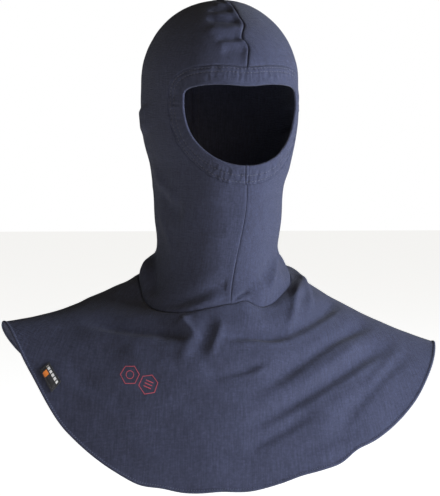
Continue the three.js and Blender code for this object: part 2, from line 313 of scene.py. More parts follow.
def nearest_on(path: Array, points: Array) -> tuple[Array, Array, Array, Array]:
    """Find where a path comes nearest to each point, in the flat or in space.

    Args:
        path: The path's points.
        points: The points to measure from.

    Returns:
        The distances, the shares of the way along the path, the path's steps there, and the points'
        offsets from it.
    """
    distance, share = np.full(len(points), np.inf), np.zeros(len(points))
    step, offset = np.zeros_like(points), np.zeros_like(points)
    for k, (start, end) in enumerate(zip(path, path[1:])):
        ahead = end - start
        part = np.clip((points - start) @ ahead / (ahead @ ahead), 0, 1)
        apart = points - start - part[:, None] * ahead
        far = np.linalg.norm(apart, axis=1)
        nearer = far < distance
        distance[nearer], share[nearer] = far[nearer], (k + part[nearer]) / (len(path) - 1)
        step[nearer], offset[nearer] = ahead, apart[nearer]
    return distance, share, step, offset


@dataclass(frozen=True)
class Fold:
    """A fold or dent: a path between two places on a cloth, pushed out by lift over a width.

    The path bows towards higher places in its middle. A ridge rises along its right hand, seen from
    outside.
    """

    from_turn: float
    from_place: float
    to_turn: float
    to_place: float
    bow: float
    width: float
    lift: float
    ridge: float = 0.0

    REACH = 3.2
    RUN_OUT = 0.28
    RIDGE_OFFSET = 1.25
    RIDGE_WIDTH = 0.8

    def push(self, form: "ClothForm", points: Array, outward: Array) -> Array:
        """Work out how far the fold pushes each point of a cloth outwards.

        Args:
            form: The cloth that the fold is in.
            points: Points on the smooth cloth.
            outward: The outward direction at each point.

        Returns:
            A height for each point, tapering to both ends of the fold.
        """
        t = np.linspace(0, 1, FOLD_STEPS + 1)
        turn = self.from_turn + (self.to_turn - self.from_turn) * t
        place = self.from_place + (self.to_place - self.from_place) * t + self.bow * np.sin(np.pi * t)
        path = form.base(turn, place)
        near = within(path, points, self.REACH * self.width)
        distance, share, step, offset = nearest_on(path, points[near])
        right = np.sign((np.cross(step, outward[near]) * offset).sum(1))
        taper = smoothstep(share, 0, self.RUN_OUT) * smoothstep(1 - share, 0, self.RUN_OUT)
        beside = right * distance - self.RIDGE_OFFSET * self.width
        ridge = self.ridge * bell(beside, self.RIDGE_WIDTH * self.width)
        height = np.zeros(len(points))
        height[near] = taper * (self.lift * bell(distance, self.width) + ridge)
        return height


HOOD_FOLDS = (
    # fullness at both sides
    Fold(-95, 0.8, -92, 1.8, 0, 20, 4),
    Fold(95, 0.8, 92, 1.8, 0, 20, 3),
    # slack below the jaw on the wearer's right
    Fold(-92, 2.8, -56, 4.3, 0.3, 8, 3),
    Fold(-80, 3.8, -48, 4.8, 0.2, 10, -3),
    # the slouch that rolls over the neckline, and the valley above it
    Fold(-160, 7.2, -74, 7.5, 0, 10, 5),
    Fold(-108, 6.7, -64, 7.65, 0, 8, -4.5),
    Fold(-54, 7.95, 6, 7.02, -0.1, 9, -4),
    Fold(-50, 8.05, 0, 7.6, -0.02, 7, 3.5),
    Fold(80, 7.2, 150, 7.2, 0, 11, 4),
    Fold(14, 7.4, 66, 7.2, 0, 10, 4),
)
HOOD_CREASES = (
    # puckers of the right half along the crown seam
    Fold(2, -0.76, -30, -0.73, 0, 5, 1.6),
    Fold(2, -0.66, -38, -0.64, 0, 5, -2),
    Fold(3, -0.58, -30, -0.57, 0, 5, 1.2),
    Fold(3, -0.5, -36, -0.53, 0, 4.5, -3),
    Fold(3, -0.42, -36, -0.4, 0, 5, 2.6),
    Fold(2, -0.335, -24, -0.33, 0, 4, -2.6),
    Fold(3, -0.295, -24, -0.28, 0, 5, 1.6),
    Fold(4, -0.23, -20, -0.235, 0, 7, -2.4),
    # upright folds on the neck
    Fold(74, 6.1, 31, 7.55, -0.18, 4, 2.8),
    Fold(52, 6.1, 22, 7.2, -0.1, 6, -1.4),
    # the tuck over the neckline beside the centre seam
    Fold(1.5, 8.02, 17, 7.5, -0.04, 2.4, -3, 1),
    # slack over the jaw and at the nape
    Fold(-84, 4.4, -58, 6.2, 0.1, 7, 1.2),
    Fold(60, 3.2, 84, 5.4, -0.2, 8, -1.6),
    Fold(-40, 4.6, 0, 4.3, 0.1, 9, -0.9),
    Fold(-36, 5.4, 2, 5.2, 0.1, 9, 0.9),
    Fold(150, 4.6, 210, 4.9, 0.2, 9, -2),
    Fold(148, 5.6, 212, 5.9, 0.15, 8, 1.8),
    Fold(110, 3.6, 150, 5.2, 0.2, 9, 1.5),
    Fold(-150, 4.6, -108, 3.5, 0.2, 9, 1.6),
)
BIB_FOLDS = (
    # long pleats that fan out from the wearer's left shoulder
    Fold(-14, 0.215, 98, 0.33, -0.01, 11, -6),
    Fold(2, 0.6, 88, 0.585, -0.147, 12, -7),
    Fold(-2, 0.77, 82, 0.72, -0.115, 12, -7),
    Fold(2, 0.84, 32, 0.72, 0, 10, -4),
    Fold(28, 0.89, 80, 0.86, -0.087, 11, -3),
    # slack under the neckline on the wearer's right, and the short folds beside it
    Fold(-72, 0.58, -14, 0.19, -0.12, 12, -6),
    Fold(-70, 0.68, -16, 0.28, -0.12, 11, 3),
    Fold(-11, 0.04, -14, 0.4, 0, 9, -3.2),
    Fold(-33, 0.06, -16, 0.27, 0, 8, 4),
    Fold(-13, 0.43, 15, 0.43, 0.03, 9, -3),
    # the standing fold round the neck on the wearer's left
    Fold(36, 0.07, 140, 0.06, 0, 8, 4.5),
    # the folds that hang at the back and over the shoulders
    Fold(140, 0.1, 150, 0.8, 0, 16, 4),
    Fold(172, 0.15, 176, 0.85, 0, 15, -4),
    Fold(-160, 0.1, -154, 0.85, 0, 16, 4),
    Fold(-128, 0.15, -124, 0.7, 0, 13, -3),
    Fold(118, 0.2, 122, 0.75, 0, 12, -3),
)
BIB_CREASES = (
    # the sharper bottoms of the pleats, each with the lit cloth below it
    Fold(-8, 0.22, 92, 0.322, -0.01, 6, -1, 1.6),
    Fold(-3, 0.232, 34, 0.268, 0, 5, -2.2, 1.6),
    Fold(8, 0.59, 82, 0.57, -0.14, 6, -1.2, 1.8),
    Fold(4, 0.75, 76, 0.715, -0.105, 6, -1.4, 2.2),
    Fold(6, 0.822, 28, 0.735, 0, 5.5, -1, 1.4),
    Fold(33, 0.88, 74, 0.85, -0.08, 6, -0.6, 1),
    # slack and short folds on the wearer's right
    Fold(-68, 0.55, -16, 0.2, -0.11, 6, -1, 1.5),
    Fold(-78, 0.88, -17, 0.225, -0.16, 14, -2.2),
    Fold(-40, 0.29, -13, 0.205, 0, 5, -2.4),
    Fold(-36, 0.02, -12, 0.27, 0, 4, 2.4),
    Fold(-17, 0.17, -21, 0.44, 0, 7, 1.6),
    Fold(-8.5, 0.36, -3, 0.1, 0, 4.6, 2.1),
    Fold(-6, 0.455, 20, 0.4, 0.01, 4.5, -2, 1.6),
    # ridges drawn up to the neck on the wearer's left
    Fold(88, 0.03, 30, 0.28, -0.1, 5, 3.6),
    Fold(96, 0.06, 54, 0.21, -0.02, 4.5, 2.6),
    # lesser pleats between the long ones
    Fold(24, 0.36, 80, 0.42, -0.03, 8, -1.6, 1),
    Fold(20, 0.6, 70, 0.575, -0.05, 7, 1.6),
    Fold(44, 0.73, 78, 0.74, -0.02, 7, -1.6, 1.2),
    Fold(20, 0.9, 44, 0.93, -0.02, 8, -1.2, 1),
    Fold(-58, 0.8, -30, 0.7, 0, 10, -1.5, 1),
    Fold(-48, 0.45, -20, 0.42, 0.03, 9, 1.4),
    Fold(-30, 0.86, 2, 0.9, 0.02, 10, 1.4),
    Fold(-22, 0.62, 6, 0.66, 0, 10, -1.4, 1),
    Fold(-108, 0.1, -98, 0.5, 0, 10, 1.5),
)


class ClothForm:
    """A cloth surface over its turns and places: a smooth form, the folds in it and its fine relief."""

    folds: tuple[Fold, ...] = ()
    creases: tuple[Fold, ...] = ()
    waves: tuple[Wave, ...] = ()

    def base(self, turn: Array, place: Array) -> Array:
        """Return points on the smooth outer side of the cloth."""
        raise NotImplementedError

    def fade(self, place: Array) -> Array:
        """Return how much of the folds is left near the cloth's seam, from 0 to 1."""
        raise NotImplementedError

    def relief(self, turn: Array, place: Array) -> Array:
        """Return the movement of each place by seams, hems and unevenness."""
        raise NotImplementedError

    def stray(self, turn: Array, place: Array) -> Array:
        """Return each turn as the worn cloth has it."""
        return turn

    def outward(self, turn: Array, place: Array) -> Array:
        """Find the outward direction of the smooth cloth.

        Args:
            turn: The turn of each point.
            place: The level or place of each point.

        Returns:
            A direction for each point, upwards where the cloth closes to a point.
        """
        across = self.base(turn + SLOPE_TURN, place) - self.base(turn - SLOPE_TURN, place)
        down = self.base(turn, place + SLOPE_PLACE) - self.base(turn, place - SLOPE_PLACE)
        normal = np.cross(down, across)
        size = np.linalg.norm(normal, axis=1, keepdims=True)
        return np.where(size > 0, normal / np.maximum(size, TINY), UP)

    def pushed(self, folds: Sequence[Fold], turn: Array, place: Array, height: Array | float) -> Array:
        """Set points over the cloth with some of its folds.

        Args:
            folds: The folds that count.
            turn: The turn of each point.
            place: The level or place of each point.
            height: The height of each point over the cloth's outer side.

        Returns:
            The points, one a row.
        """
        points, outward = self.base(turn, place), self.outward(turn, place)
        lift = sum(fold.push(self, points, outward) for fold in folds)
        return points + outward * (lift * self.fade(place) + height)[:, None]

    def folded(self, turn: Array, place: Array, height: Array | float = 0.0) -> Array:
        """Return points over the cloth with its main folds, without its creases and fine relief."""
        return self.pushed(self.folds, turn, place, height)

    def surface(self, turn: Array, place: Array, height: Array | float = 0.0) -> Array:
        """Return points over the cloth as it is worn."""
        turn = self.stray(turn, place)
        return self.pushed(self.folds + self.creases, turn, place, height) + self.relief(turn, place)

    def span(self, turn: Array, place: Array, other_turn: Array, other_place: Array) -> Array:
        """Return the straight distance between two places on the smooth cloth."""
        return np.linalg.norm(self.base(turn, place) - self.base(other_turn, other_place), axis=1)


class HoodForm(ClothForm):
    """The hood's cloth. Its levels run from -1, the crown, through 0, the brow, to the neckline."""

    folds = HOOD_FOLDS
    creases = HOOD_CREASES
    waves = (Wave(34, 0.7), Wave(13, 0.22))

    CROWN_TOP = 1.6
    CROWN_LEVEL = -1.0
    CROWN_FADE = 0.1
    DOME_HEIGHT = 88.0
    NECK_LEVEL = HOOD_SECTIONS[-1].level
    SAG_FROM_LEVEL = 5.5
    BUMP_FROM_LEVEL = 7.1
    FOLD_FADE = 0.3
    LIP_FADE = 3.0
    WAVE_FADE = 12.0
    SEAM_TURN = 1.5
    STRAY_WIDTH = 9.0
    NECK_RISE = 0.6
    TUCK_WIDTH = 5.0

    # heights at distances from the centre seam, on the half with the pressed allowance and on the other
    RIGHT_LIP = Profile((0, 0.35, 0.9, 1.6, 3.2, 5.5, 8), (-1.6, -0.6, 0.6, 1.1, 1.15, 0.6, 0))
    LEFT_LIP = Profile((0, 0.35, 0.9, 1.6, 3.2, 5.5), (-1.6, -1.25, -0.8, -0.4, -0.1, 0))
    # how much of those lips shows at each level
    LIP_SHARE = Profile((-0.6, -0.15, 3, 4, 8), (1.2, 1.2, 0.7, 0.4, 0.4))
    # heights at distances from the neckline seam
    NECK_LIP = Profile((0, 0.5, 1.2, 2.5, 5), (-1.1, -0.4, 0.1, 0.35, 0))

    def __init__(self) -> None:
        """Draw the curves through the hood's tables."""
        names = [column.name for column in fields(Section) if column.name != "level"]
        self.curves = {name: Smooth(HOOD_SECTIONS, "level", name) for name in names}
        self.sag = Smooth(NECKLINE_SAG, "at", "value", closed=True)
        self.wander = Smooth(SEAM_WANDER, "at", "value")

    def dome(self, level: Array) -> Array:
        """Return how far round the crown's dome each level lies, a right angle from the brow down."""
        return (np.minimum(level, 0) - self.CROWN_LEVEL) * np.pi / 2

    def base(self, turn: Array, level: Array) -> Array:
        """Set points on the smooth outer side of the hood.

        Args:
            turn: The turn of each point.
            level: The level of each point.

        Returns:
            The points, one a row.
        """
        turn, level = np.broadcast_arrays(np.asarray(turn, float), np.asarray(level, float))
        row = {name: curve(np.maximum(level, 0)) for name, curve in self.curves.items()}
        sag = self.sag(turn) * smoothstep(level, self.SAG_FROM_LEVEL, self.NECK_LEVEL)
        bumps = bumps_at(NECKLINE_BUMPS, turn) * smoothstep(level, self.BUMP_FROM_LEVEL, self.NECK_LEVEL)
        drop = row["drop"] + row["dip"] * np.cos(np.radians(turn)) + sag - bumps
        dome, angle = self.dome(level), np.radians(row["turn"])
        height = self.CROWN_TOP + self.DOME_HEIGHT * np.cos(dome) - drop
        points = oval(Ring(row["side"], row["front"], row["back"]), turn, height)
        x, y = (points[..., 0] + row["lean"]) * np.sin(dome), points[..., 1] * np.sin(dome)
        cosine, sine = np.cos(angle), np.sin(angle)
        return np.stack([x * cosine - y * sine, x * sine + y * cosine, points[..., 2]], axis=-1)

    def fade(self, level: Array) -> Array:
        """Return how much of the folds is left near the neckline."""
        return smoothstep(self.NECK_LEVEL - level, 0, self.FOLD_FADE)

    def stray(self, turn: Array, level: Array) -> Array:
        """Return each turn with the worn centre seam's wandering in it."""
        return turn + self.wander(level) * bell(turn - self.SEAM_TURN, self.STRAY_WIDTH)

    def seam_turn(self, level: Array) -> Array:
        """Return the turn of the worn centre seam at each level."""
        return self.stray(np.full_like(level, self.SEAM_TURN), level)

    def neck_outward(self, turn: Array) -> Array:
        """Return the direction in which the neckline's seam stands out, for the hood and the bib alike."""
        angle = np.radians(turn)
        return unit(np.stack([np.sin(angle), -np.cos(angle), np.full_like(angle, self.NECK_RISE)], axis=-1))

    def relief(self, turn: Array, level: Array) -> Array:
        """Work out how the seams and the cloth's unevenness move the hood.

        Args:
            turn: The turn of each point.
            level: The level of each point.

        Returns:
            A movement for each point.
        """
        front = in_front(turn)
        seam = np.where(front, self.seam_turn(level), BACK_TURN)
        right = np.where(front, turn < seam, turn < 0)
        away = self.span(turn, level, seam, level)
        low = self.span(turn, level, turn, np.full_like(level, self.NECK_LEVEL))
        lip = np.where(right, self.RIGHT_LIP(away), self.LEFT_LIP(away)) * self.LIP_SHARE(level)
        uneven = unevenness(self.base(turn, level), self.waves)
        height = lip * smoothstep(low, 0, self.LIP_FADE) + uneven * smoothstep(low, 0, self.WAVE_FADE)
        height = height * smoothstep(level, self.CROWN_LEVEL, self.CROWN_LEVEL + self.CROWN_FADE)
        neck = self.NECK_LIP(low) - self.tuck(turn, low)
        return self.outward(turn, level) * height[:, None] + self.neck_outward(turn) * neck[:, None]

    def tuck(self, turn: Array, away: Array) -> Array:
        """Return how deep the cloth is drawn in at distances from the neckline, on either side."""
        return bumps_at(NECKLINE_TUCKS, turn) * bell(away, self.TUCK_WIDTH)

    def level_at(self, turn: Array, height: Array) -> Array:
        """Find the levels at which the smooth hood passes given heights, by halving.

        Args:
            turn: The turn of each point.
            height: The height to find at each turn.

        Returns:
            A level for each point.
        """
        low, high = np.full_like(turn, self.CROWN_LEVEL), np.full_like(turn, self.NECK_LEVEL)
        for _ in range(HALVINGS):
            middle = (low + high) / 2
            above = self.base(turn, middle)[:, 2] > height
            low, high = np.where(above, middle, low), np.where(above, high, middle)
        return low


class BibForm(ClothForm):
    """The bib's cloth. Its places run from 0, the neckline, to 1, the hem."""

    folds = BIB_FOLDS
    creases = BIB_CREASES
    waves = (Wave(40, 1.1), Wave(15, 0.25))

    FOLD_FADE = 0.07
    WAVE_FADE = 14.0
    HEM_POWER = 10.0

    # heights at distances from the neckline seam and from the hem's edge
    NECK_LIP = Profile((0, 0.5, 1.2, 2.5, 6, 8), (-1.1, -0.2, 0.35, 0.6, 0.45, 0))
    HEM_LIP = Profile((0, 0.2, 0.7, 1.6, 2.6, 3.2, 3.8, 5), (-0.8, -0.1, 0.7, 1.15, 0.9, 0.3, 0.1, 0))

    def __init__(self, hood: HoodForm) -> None:
        """Draw the curves through the bib's tables.

        Args:
            hood: The hood that the bib is sewn to.
        """
        self.hood = hood
        self.shoulder = Smooth(BIB_STATIONS, "turn", "shoulder", closed=True)
        self.hem = Smooth(BIB_STATIONS, "turn", "hem", closed=True)

    def base(self, turn: Array, place: Array) -> Array:
        """Set points on the smooth outer side of the bib.

        Args:
            turn: The turn of each point.
            place: The place of each point.

        Returns:
            The points, one a row.
        """
        turn, place = np.broadcast_arrays(np.asarray(turn, float), np.asarray(place, float))
        neck = self.hood.base(turn, self.hood.NECK_LEVEL)
        shoulder = oval(SHOULDER_RING, turn, self.hood.CROWN_TOP - self.shoulder(turn))
        hem = oval(HEM_RING, turn, self.hood.CROWN_TOP - self.hem(turn))
        t = place[..., None]
        return neck * (1 - t) ** 2 + shoulder * 2 * t * (1 - t) + hem * t**2

    def fade(self, place: Array) -> Array:
        """Return how much of the folds is left near the neckline."""
        return smoothstep(place, 0, self.FOLD_FADE)

    def reach(self, turn: Array) -> Array:
        """Return the straight distance from the neckline to the hem at each turn."""
        return self.span(turn, np.ones_like(turn), turn, np.zeros_like(turn))

    def relief(self, turn: Array, place: Array) -> Array:
        """Work out how the seam, the hem and the cloth's unevenness move the bib.

        Args:
            turn: The turn of each point.
            place: The place of each point.

        Returns:
            A movement for each point.
        """
        points = self.base(turn, place)
        low = self.span(turn, place, turn, np.ones_like(place))
        high = self.span(turn, place, turn, np.zeros_like(place))
        height = self.HEM_LIP(low) + unevenness(points, self.waves) * smoothstep(high, 0, self.WAVE_FADE)
        neck = self.NECK_LIP(high) - self.hood.tuck(turn, high)
        fall = bumps_at(HEM_BUMPS, turn) * np.clip(place, 0, 1) ** self.HEM_POWER
        down = unit(points - self.base(turn, place - SLOPE_PLACE))
        moved = self.outward(turn, place) * height[:, None] + self.hood.neck_outward(turn) * neck[:, None]
        return moved + down * fall[:, None]


@dataclass
class FaceOutline:
    """The face opening laid flat on the hood: its reaches and its corners' powers, where 2 is an ellipse."""

    hood: HoodForm
    radius: float = 90.0
    shift: float = 5.0
    half_width: float = 78.0
    drop: float = 106.0
    rise: float = 14.0
    fall: float = 70.0
    top_corner: float = 3.4
    bottom_corner: float = 2.15
    brow_dip: float = 2.4
    brow_dip_width: float = 22.0
    brow_reach: float = 0.18
    margin: float = 20.0
    samples: int = 720

    def edge(self, steps: int) -> Array:
        """Draw the opening's edge.

        Args:
            steps: How many points it has.

        Returns:
            Evenly spaced points in the flat, counter-clockwise from the chin.
        """
        angle = np.linspace(0, 2 * np.pi, self.samples + 1)
        sine, cosine = np.sin(angle), np.cos(angle)
        low = cosine > 0
        power = 2 / np.where(low, self.bottom_corner, self.top_corner)
        x = self.half_width * np.sign(sine) * np.abs(sine) ** power
        y = -np.where(low, self.fall, self.rise) * np.sign(cosine) * np.abs(cosine) ** power
        y = y - np.where(low, 0, self.brow_dip * bell(x + self.shift, self.brow_dip_width))
        x = x + self.shift * np.clip(1 + y / self.fall, 0, 1)
        line = np.stack([x, y], axis=1)
        length = lengths(line)
        return along(line, length, np.linspace(0, length[-1], steps, endpoint=False))

    def brow(self, share: Array) -> Array:
        """Return how much of the brow's crease there is, at shares of the way round from the chin."""
        return 1 - smoothstep(np.abs(share - 0.5), self.brow_reach / 2, self.brow_reach)

    def set_out(self, edge: Array, distance: Array | float) -> Array:
        """Return the edge's points moved outwards in the flat by a distance."""
        ahead = unit(np.roll(edge, -1, axis=0) - np.roll(edge, 1, axis=0))
        return edge + np.stack([ahead[:, 1], -ahead[:, 0]], axis=1) * np.reshape(distance, (-1, 1))

    def flat(self, turn: Array, points: Array) -> Array:
        """Return the flat places of points on the hood."""
        up = points[:, 2] - self.hood.CROWN_TOP + self.drop
        return np.stack([np.radians(turn) * self.radius, up], axis=1)

    def place(self, flat: Array) -> tuple[Array, Array]:
        """Return the turns and levels of flat places."""
        turn = np.degrees(flat[:, 0] / self.radius)
        return turn, self.hood.level_at(turn, self.hood.CROWN_TOP - self.drop + flat[:, 1])

    def nearest(self, outline: Array, flat: Array) -> tuple[Array, Array, Array]:
        """Find the nearest points of a closed flat outline.

        Args:
            outline: The outline's points, counter-clockwise.
            flat: The places to measure from.

        Returns:
            The nearest points, their share of the way round, and the distances, below zero inside the
            outline and endless far from it.
        """
        found, share, away = flat.copy(), np.zeros(len(flat)), np.full(len(flat), np.inf)
        near = within(outline, flat, self.margin)
        distance, share[near], step, offset = nearest_on(close_ring(outline), flat[near])
        side = step[:, 1] * offset[:, 0] - step[:, 0] * offset[:, 1]
        found[near], away[near] = flat[near] - offset, np.where(side < 0, -distance, distance)
        return found, share, away


@dataclass(frozen=True)
class Speckle:
    """An uneven tint: a noise in repeats a metre, the part of its range that shows, and how much of it.

    The noise is even all over a piece, or drawn out along the cloth's own map where across is given.
    """

    scale: float
    detail: float
    low: float
    high: float
    share: float = 1.0
    across: float = 0.0


class Nodes:
    """A node tree, with short calls to add to it."""

    def __init__(self, tree: bpy.types.NodeTree) -> None:
        """Take a tree to add to."""
        self.tree = tree

    def add(self, kind: str, inputs: dict[str | int, Any] | None = None, **settings: Any) -> bpy.types.Node:
        """Add a node.

        Args:
            kind: The node's type, after the words that all of them begin with.
            inputs: Sockets or values for its inputs, by name or number.
            settings: Its properties.

        Returns:
            The node.
        """
        node = self.tree.nodes.new("ShaderNode" + kind)
        for name, value in settings.items():
            setattr(node, name, value)
        for name, value in (inputs or {}).items():
            self.put(value, node.inputs[name])
        return node

    def put(self, value: Any, socket: Socket) -> None:
        """Give a socket a link or a plain value.

        Args:
            value: Another socket, or the value.
            socket: The socket that takes it.
        """
        if isinstance(value, Socket):
            self.tree.links.new(value, socket)
        else:
            socket.default_value = value

    def math(self, operation: str, *values: Any) -> Socket:
        """Return the result of a math node on sockets or numbers."""
        return self.add("Math", dict(enumerate(values)), operation=operation).outputs[0]

    def mix(self, share: Any, first: Any, second: Any) -> Socket:
        """Mix two colours.

        Args:
            share: How much of the second there is.
            first: The first colour, or its socket.
            second: The second colour, or its socket.

        Returns:
            The mixed colour's socket.
        """
        node = self.add("Mix", data_type="RGBA")
        sockets = [socket for socket in node.inputs if socket.enabled]
        for value, socket in zip((share, first, second), sockets):
            self.put((*value, 1.0) if isinstance(value, tuple) else value, socket)
        return next(socket for socket in node.outputs if socket.enabled)

    def away(self, value: Socket, middle: float) -> Socket:
        """Return how far a value lies from a middle."""
        return self.math("ABSOLUTE", self.math("SUBTRACT", value, middle))

    def wave(self, value: Socket, length: float) -> Socket:
        """Return the sine of a value, with waves of a given length."""
        return self.math("SINE", self.math("MULTIPLY", value, 2 * math.pi / length))

    def shallow(self, wave: Socket, depth: float) -> Socket:
        """Return a wave with its crests at 1 and its middle a depth below."""
        return self.math("MULTIPLY_ADD", wave, depth, 1 - depth)

    def noise(self, scale: float, detail: float = 2.0) -> Socket:
        """Return a noise over the object's own coordinates, in repeats a metre."""
        place = self.add("TexCoord").outputs["Object"]
        return self.add("TexNoise", {"Vector": place, "Scale": scale, "Detail": detail}).outputs["Fac"]

    def streaks(self, scale: float, across: float, detail: float) -> Socket:
        """Draw a noise out over the cloth's own map.

        Args:
            scale: Its repeats a metre along the courses.
            across: Its repeats a metre across them.
            detail: How many finer layers it has.

        Returns:
            The noise's socket.
        """
        place = self.add("VectorMath", {0: self.cloth(), 1: (scale, across, 1.0)}, operation="MULTIPLY")
        inputs = {"Vector": place.outputs["Vector"], "Scale": 1.0, "Detail": detail}
        return self.add("TexNoise", inputs).outputs["Fac"]

    def speckle(self, tint: Speckle) -> Socket:
        """Return where an uneven tint shows, from 0 to 1.

        Args:
            tint: The tint.

        Returns:
            The socket of its noise, spread over the range that shows.
        """
        if tint.across:
            value = self.streaks(tint.scale, tint.across, tint.detail)
        else:
            value = self.noise(tint.scale, tint.detail)
        inputs = {"Value": value, "From Min": tint.low, "From Max": tint.high}
        return self.add("MapRange", inputs).outputs["Result"]

    def cloth(self) -> Socket:
        """Return the cloth's own map, in metres."""
        return self.add("UVMap", uv_map=UV_NAME).outputs["UV"]

    def cloth_measures(self) -> tuple[Socket, Socket]:
        """Return the two measures of the cloth's own map."""
        parts = self.add("SeparateXYZ", {"Vector": self.cloth()})
        return parts.outputs["X"], parts.outputs["Y"]


class MaterialNodes(Nodes):
    """The nodes of one material round a principled shader."""

    def __init__(self, name: str) -> None:
        """Start a material.

        Args:
            name: The material's name.
        """
        self.material = bpy.data.materials.new(name)
        self.material.use_nodes = True
        super().__init__(self.material.node_tree)
        self.tree.nodes.clear()
        self.shader = self.add("BsdfPrincipled")
        self.add("OutputMaterial", {"Surface": self.shader.outputs["BSDF"]})

    def give(self, values: dict[str, Any]) -> None:
        """Link or set sockets of the shader, by their names."""
        for name, value in values.items():
            self.put(value, self.shader.inputs[name])

    def bump(self, height: Socket, distance: float, strength: float) -> None:
        """Give the shader a bump of a height map, its distance in metres."""
        bump = self.add("Bump", {"Distance": distance, "Strength": strength, "Height": height})
        self.give({"Normal": bump.outputs["Normal"]})


@dataclass(frozen=True)
class Knit:
    """A jersey knit: columns of small V stitches in dyed yarn, a little heather, a soft nap, and painted
    shade in their gaps.
    """

    name: str
    colour: Colour = (0.037, 0.0415, 0.074)
    faded: Colour = (0.056, 0.0625, 0.108)
    # painted shade: the dark colour between the stitches, which ribs, mottle and heather also darken towards
    gap: Colour = (0.016, 0.017, 0.029)
    wale: float = 0.0011
    course: float = 0.0009
    slant: float = 0.7
    loop_depth: float = 0.22
    yarn_round: float = 0.6
    gap_share: float = 0.5
    relief: float = 0.00028
    relief_strength: float = 0.7
    slub_relief: float = 1.2
    roughness: float = 0.88
    slub_roughness: float = 0.08
    specular: float = 0.12
    sheen: float = 0.06
    sheen_roughness: float = 0.5

    WEAR = Speckle(16, 4, 0.38, 0.68, 0.45)
    CLOUD = Speckle(150, 3, 0.36, 0.66, 0.4)
    SLUB = Speckle(130, 3, 0.36, 0.66, 0.6, across=620)
    RIB = Speckle(700, 3, 0.38, 0.66, 0.4, across=60)
    MOTTLE = Speckle(400, 2, 0.34, 0.66, 0.33)
    HEATHER = Speckle(1500, 1, 0.35, 0.7, 0.2)
    FADING = (WEAR, CLOUD, SLUB)
    DARKENING = (RIB, MOTTLE, HEATHER)

    def material(self) -> bpy.types.Material:
        """Make the knit's material.

        Returns:
            The material.
        """
        nodes = MaterialNodes(self.name)
        yarn = self.yarn(nodes)
        shown = {tint: nodes.speckle(tint) for tint in self.FADING + self.DARKENING}
        slub = shown[self.SLUB]
        dye = self.colour
        for tint, speckle in shown.items():
            towards = self.faded if tint in self.FADING else self.gap
            dye = nodes.mix(nodes.math("MULTIPLY", speckle, tint.share), dye, towards)
        # painted shade: darker towards the gap colour where the yarn lies low between the stitches
        shade = nodes.math("MULTIPLY", nodes.math("SUBTRACT", 1.0, yarn), self.gap_share)
        nodes.give({
            "Base Color": nodes.mix(shade, dye, self.gap),
            "Roughness": nodes.math("MULTIPLY_ADD", slub, self.slub_roughness, self.roughness),
            "Specular IOR Level": self.specular,
            "Sheen Weight": self.sheen,
            "Sheen Roughness": self.sheen_roughness,
        })
        height = nodes.math("ADD", yarn, nodes.math("MULTIPLY", slub, self.slub_relief))
        nodes.bump(height, self.relief, self.relief_strength)
        return nodes.material

    def yarn(self, nodes: MaterialNodes) -> Socket:
        """Draw the stitches: two slanted legs to a wale, ridge by ridge.

        Args:
            nodes: The material's nodes.

        Returns:
            How high the yarn stands, from 0 to 1.
        """
        u, v = nodes.cloth_measures()
        wale = nodes.math("MULTIPLY", u, 1 / self.wale)
        middle = nodes.away(nodes.math("FRACT", wale), 0.5)
        leg = nodes.math("FRACT", nodes.math("MULTIPLY", wale, 2.0))
        ridge = nodes.math("POWER", nodes.wave(leg, 2.0), self.yarn_round)
        slanted = nodes.math("MULTIPLY", middle, 2 * self.slant)
        course = nodes.math("ADD", nodes.math("MULTIPLY", v, 1 / self.course), slanted)
        return nodes.math("MULTIPLY", ridge, nodes.shallow(nodes.wave(course, 1.0), self.loop_depth))


@dataclass(frozen=True)
class Thread:
    """A spun sewing thread with a faint twist, and painted shade in spots along it."""

    name: str
    colour: Colour
    shadow: Colour
    relief: float = 0.00008
    relief_strength: float = 0.5
    roughness: float = 0.6
    sheen: float = 0.15

    TWIST = Speckle(2600, 1, 0.35, 0.7)

    def material(self) -> bpy.types.Material:
        """Make the thread's material.

        Returns:
            The material.
        """
        nodes = MaterialNodes(self.name)
        # painted shade: the thread darkens in spots towards its shadow colour
        dye = nodes.mix(nodes.speckle(self.TWIST), self.colour, self.shadow)
        nodes.give({"Base Color": dye, "Roughness": self.roughness, "Sheen Weight": self.sheen})
        nodes.bump(nodes.noise(self.TWIST.scale, self.TWIST.detail), self.relief, self.relief_strength)
        return nodes.material


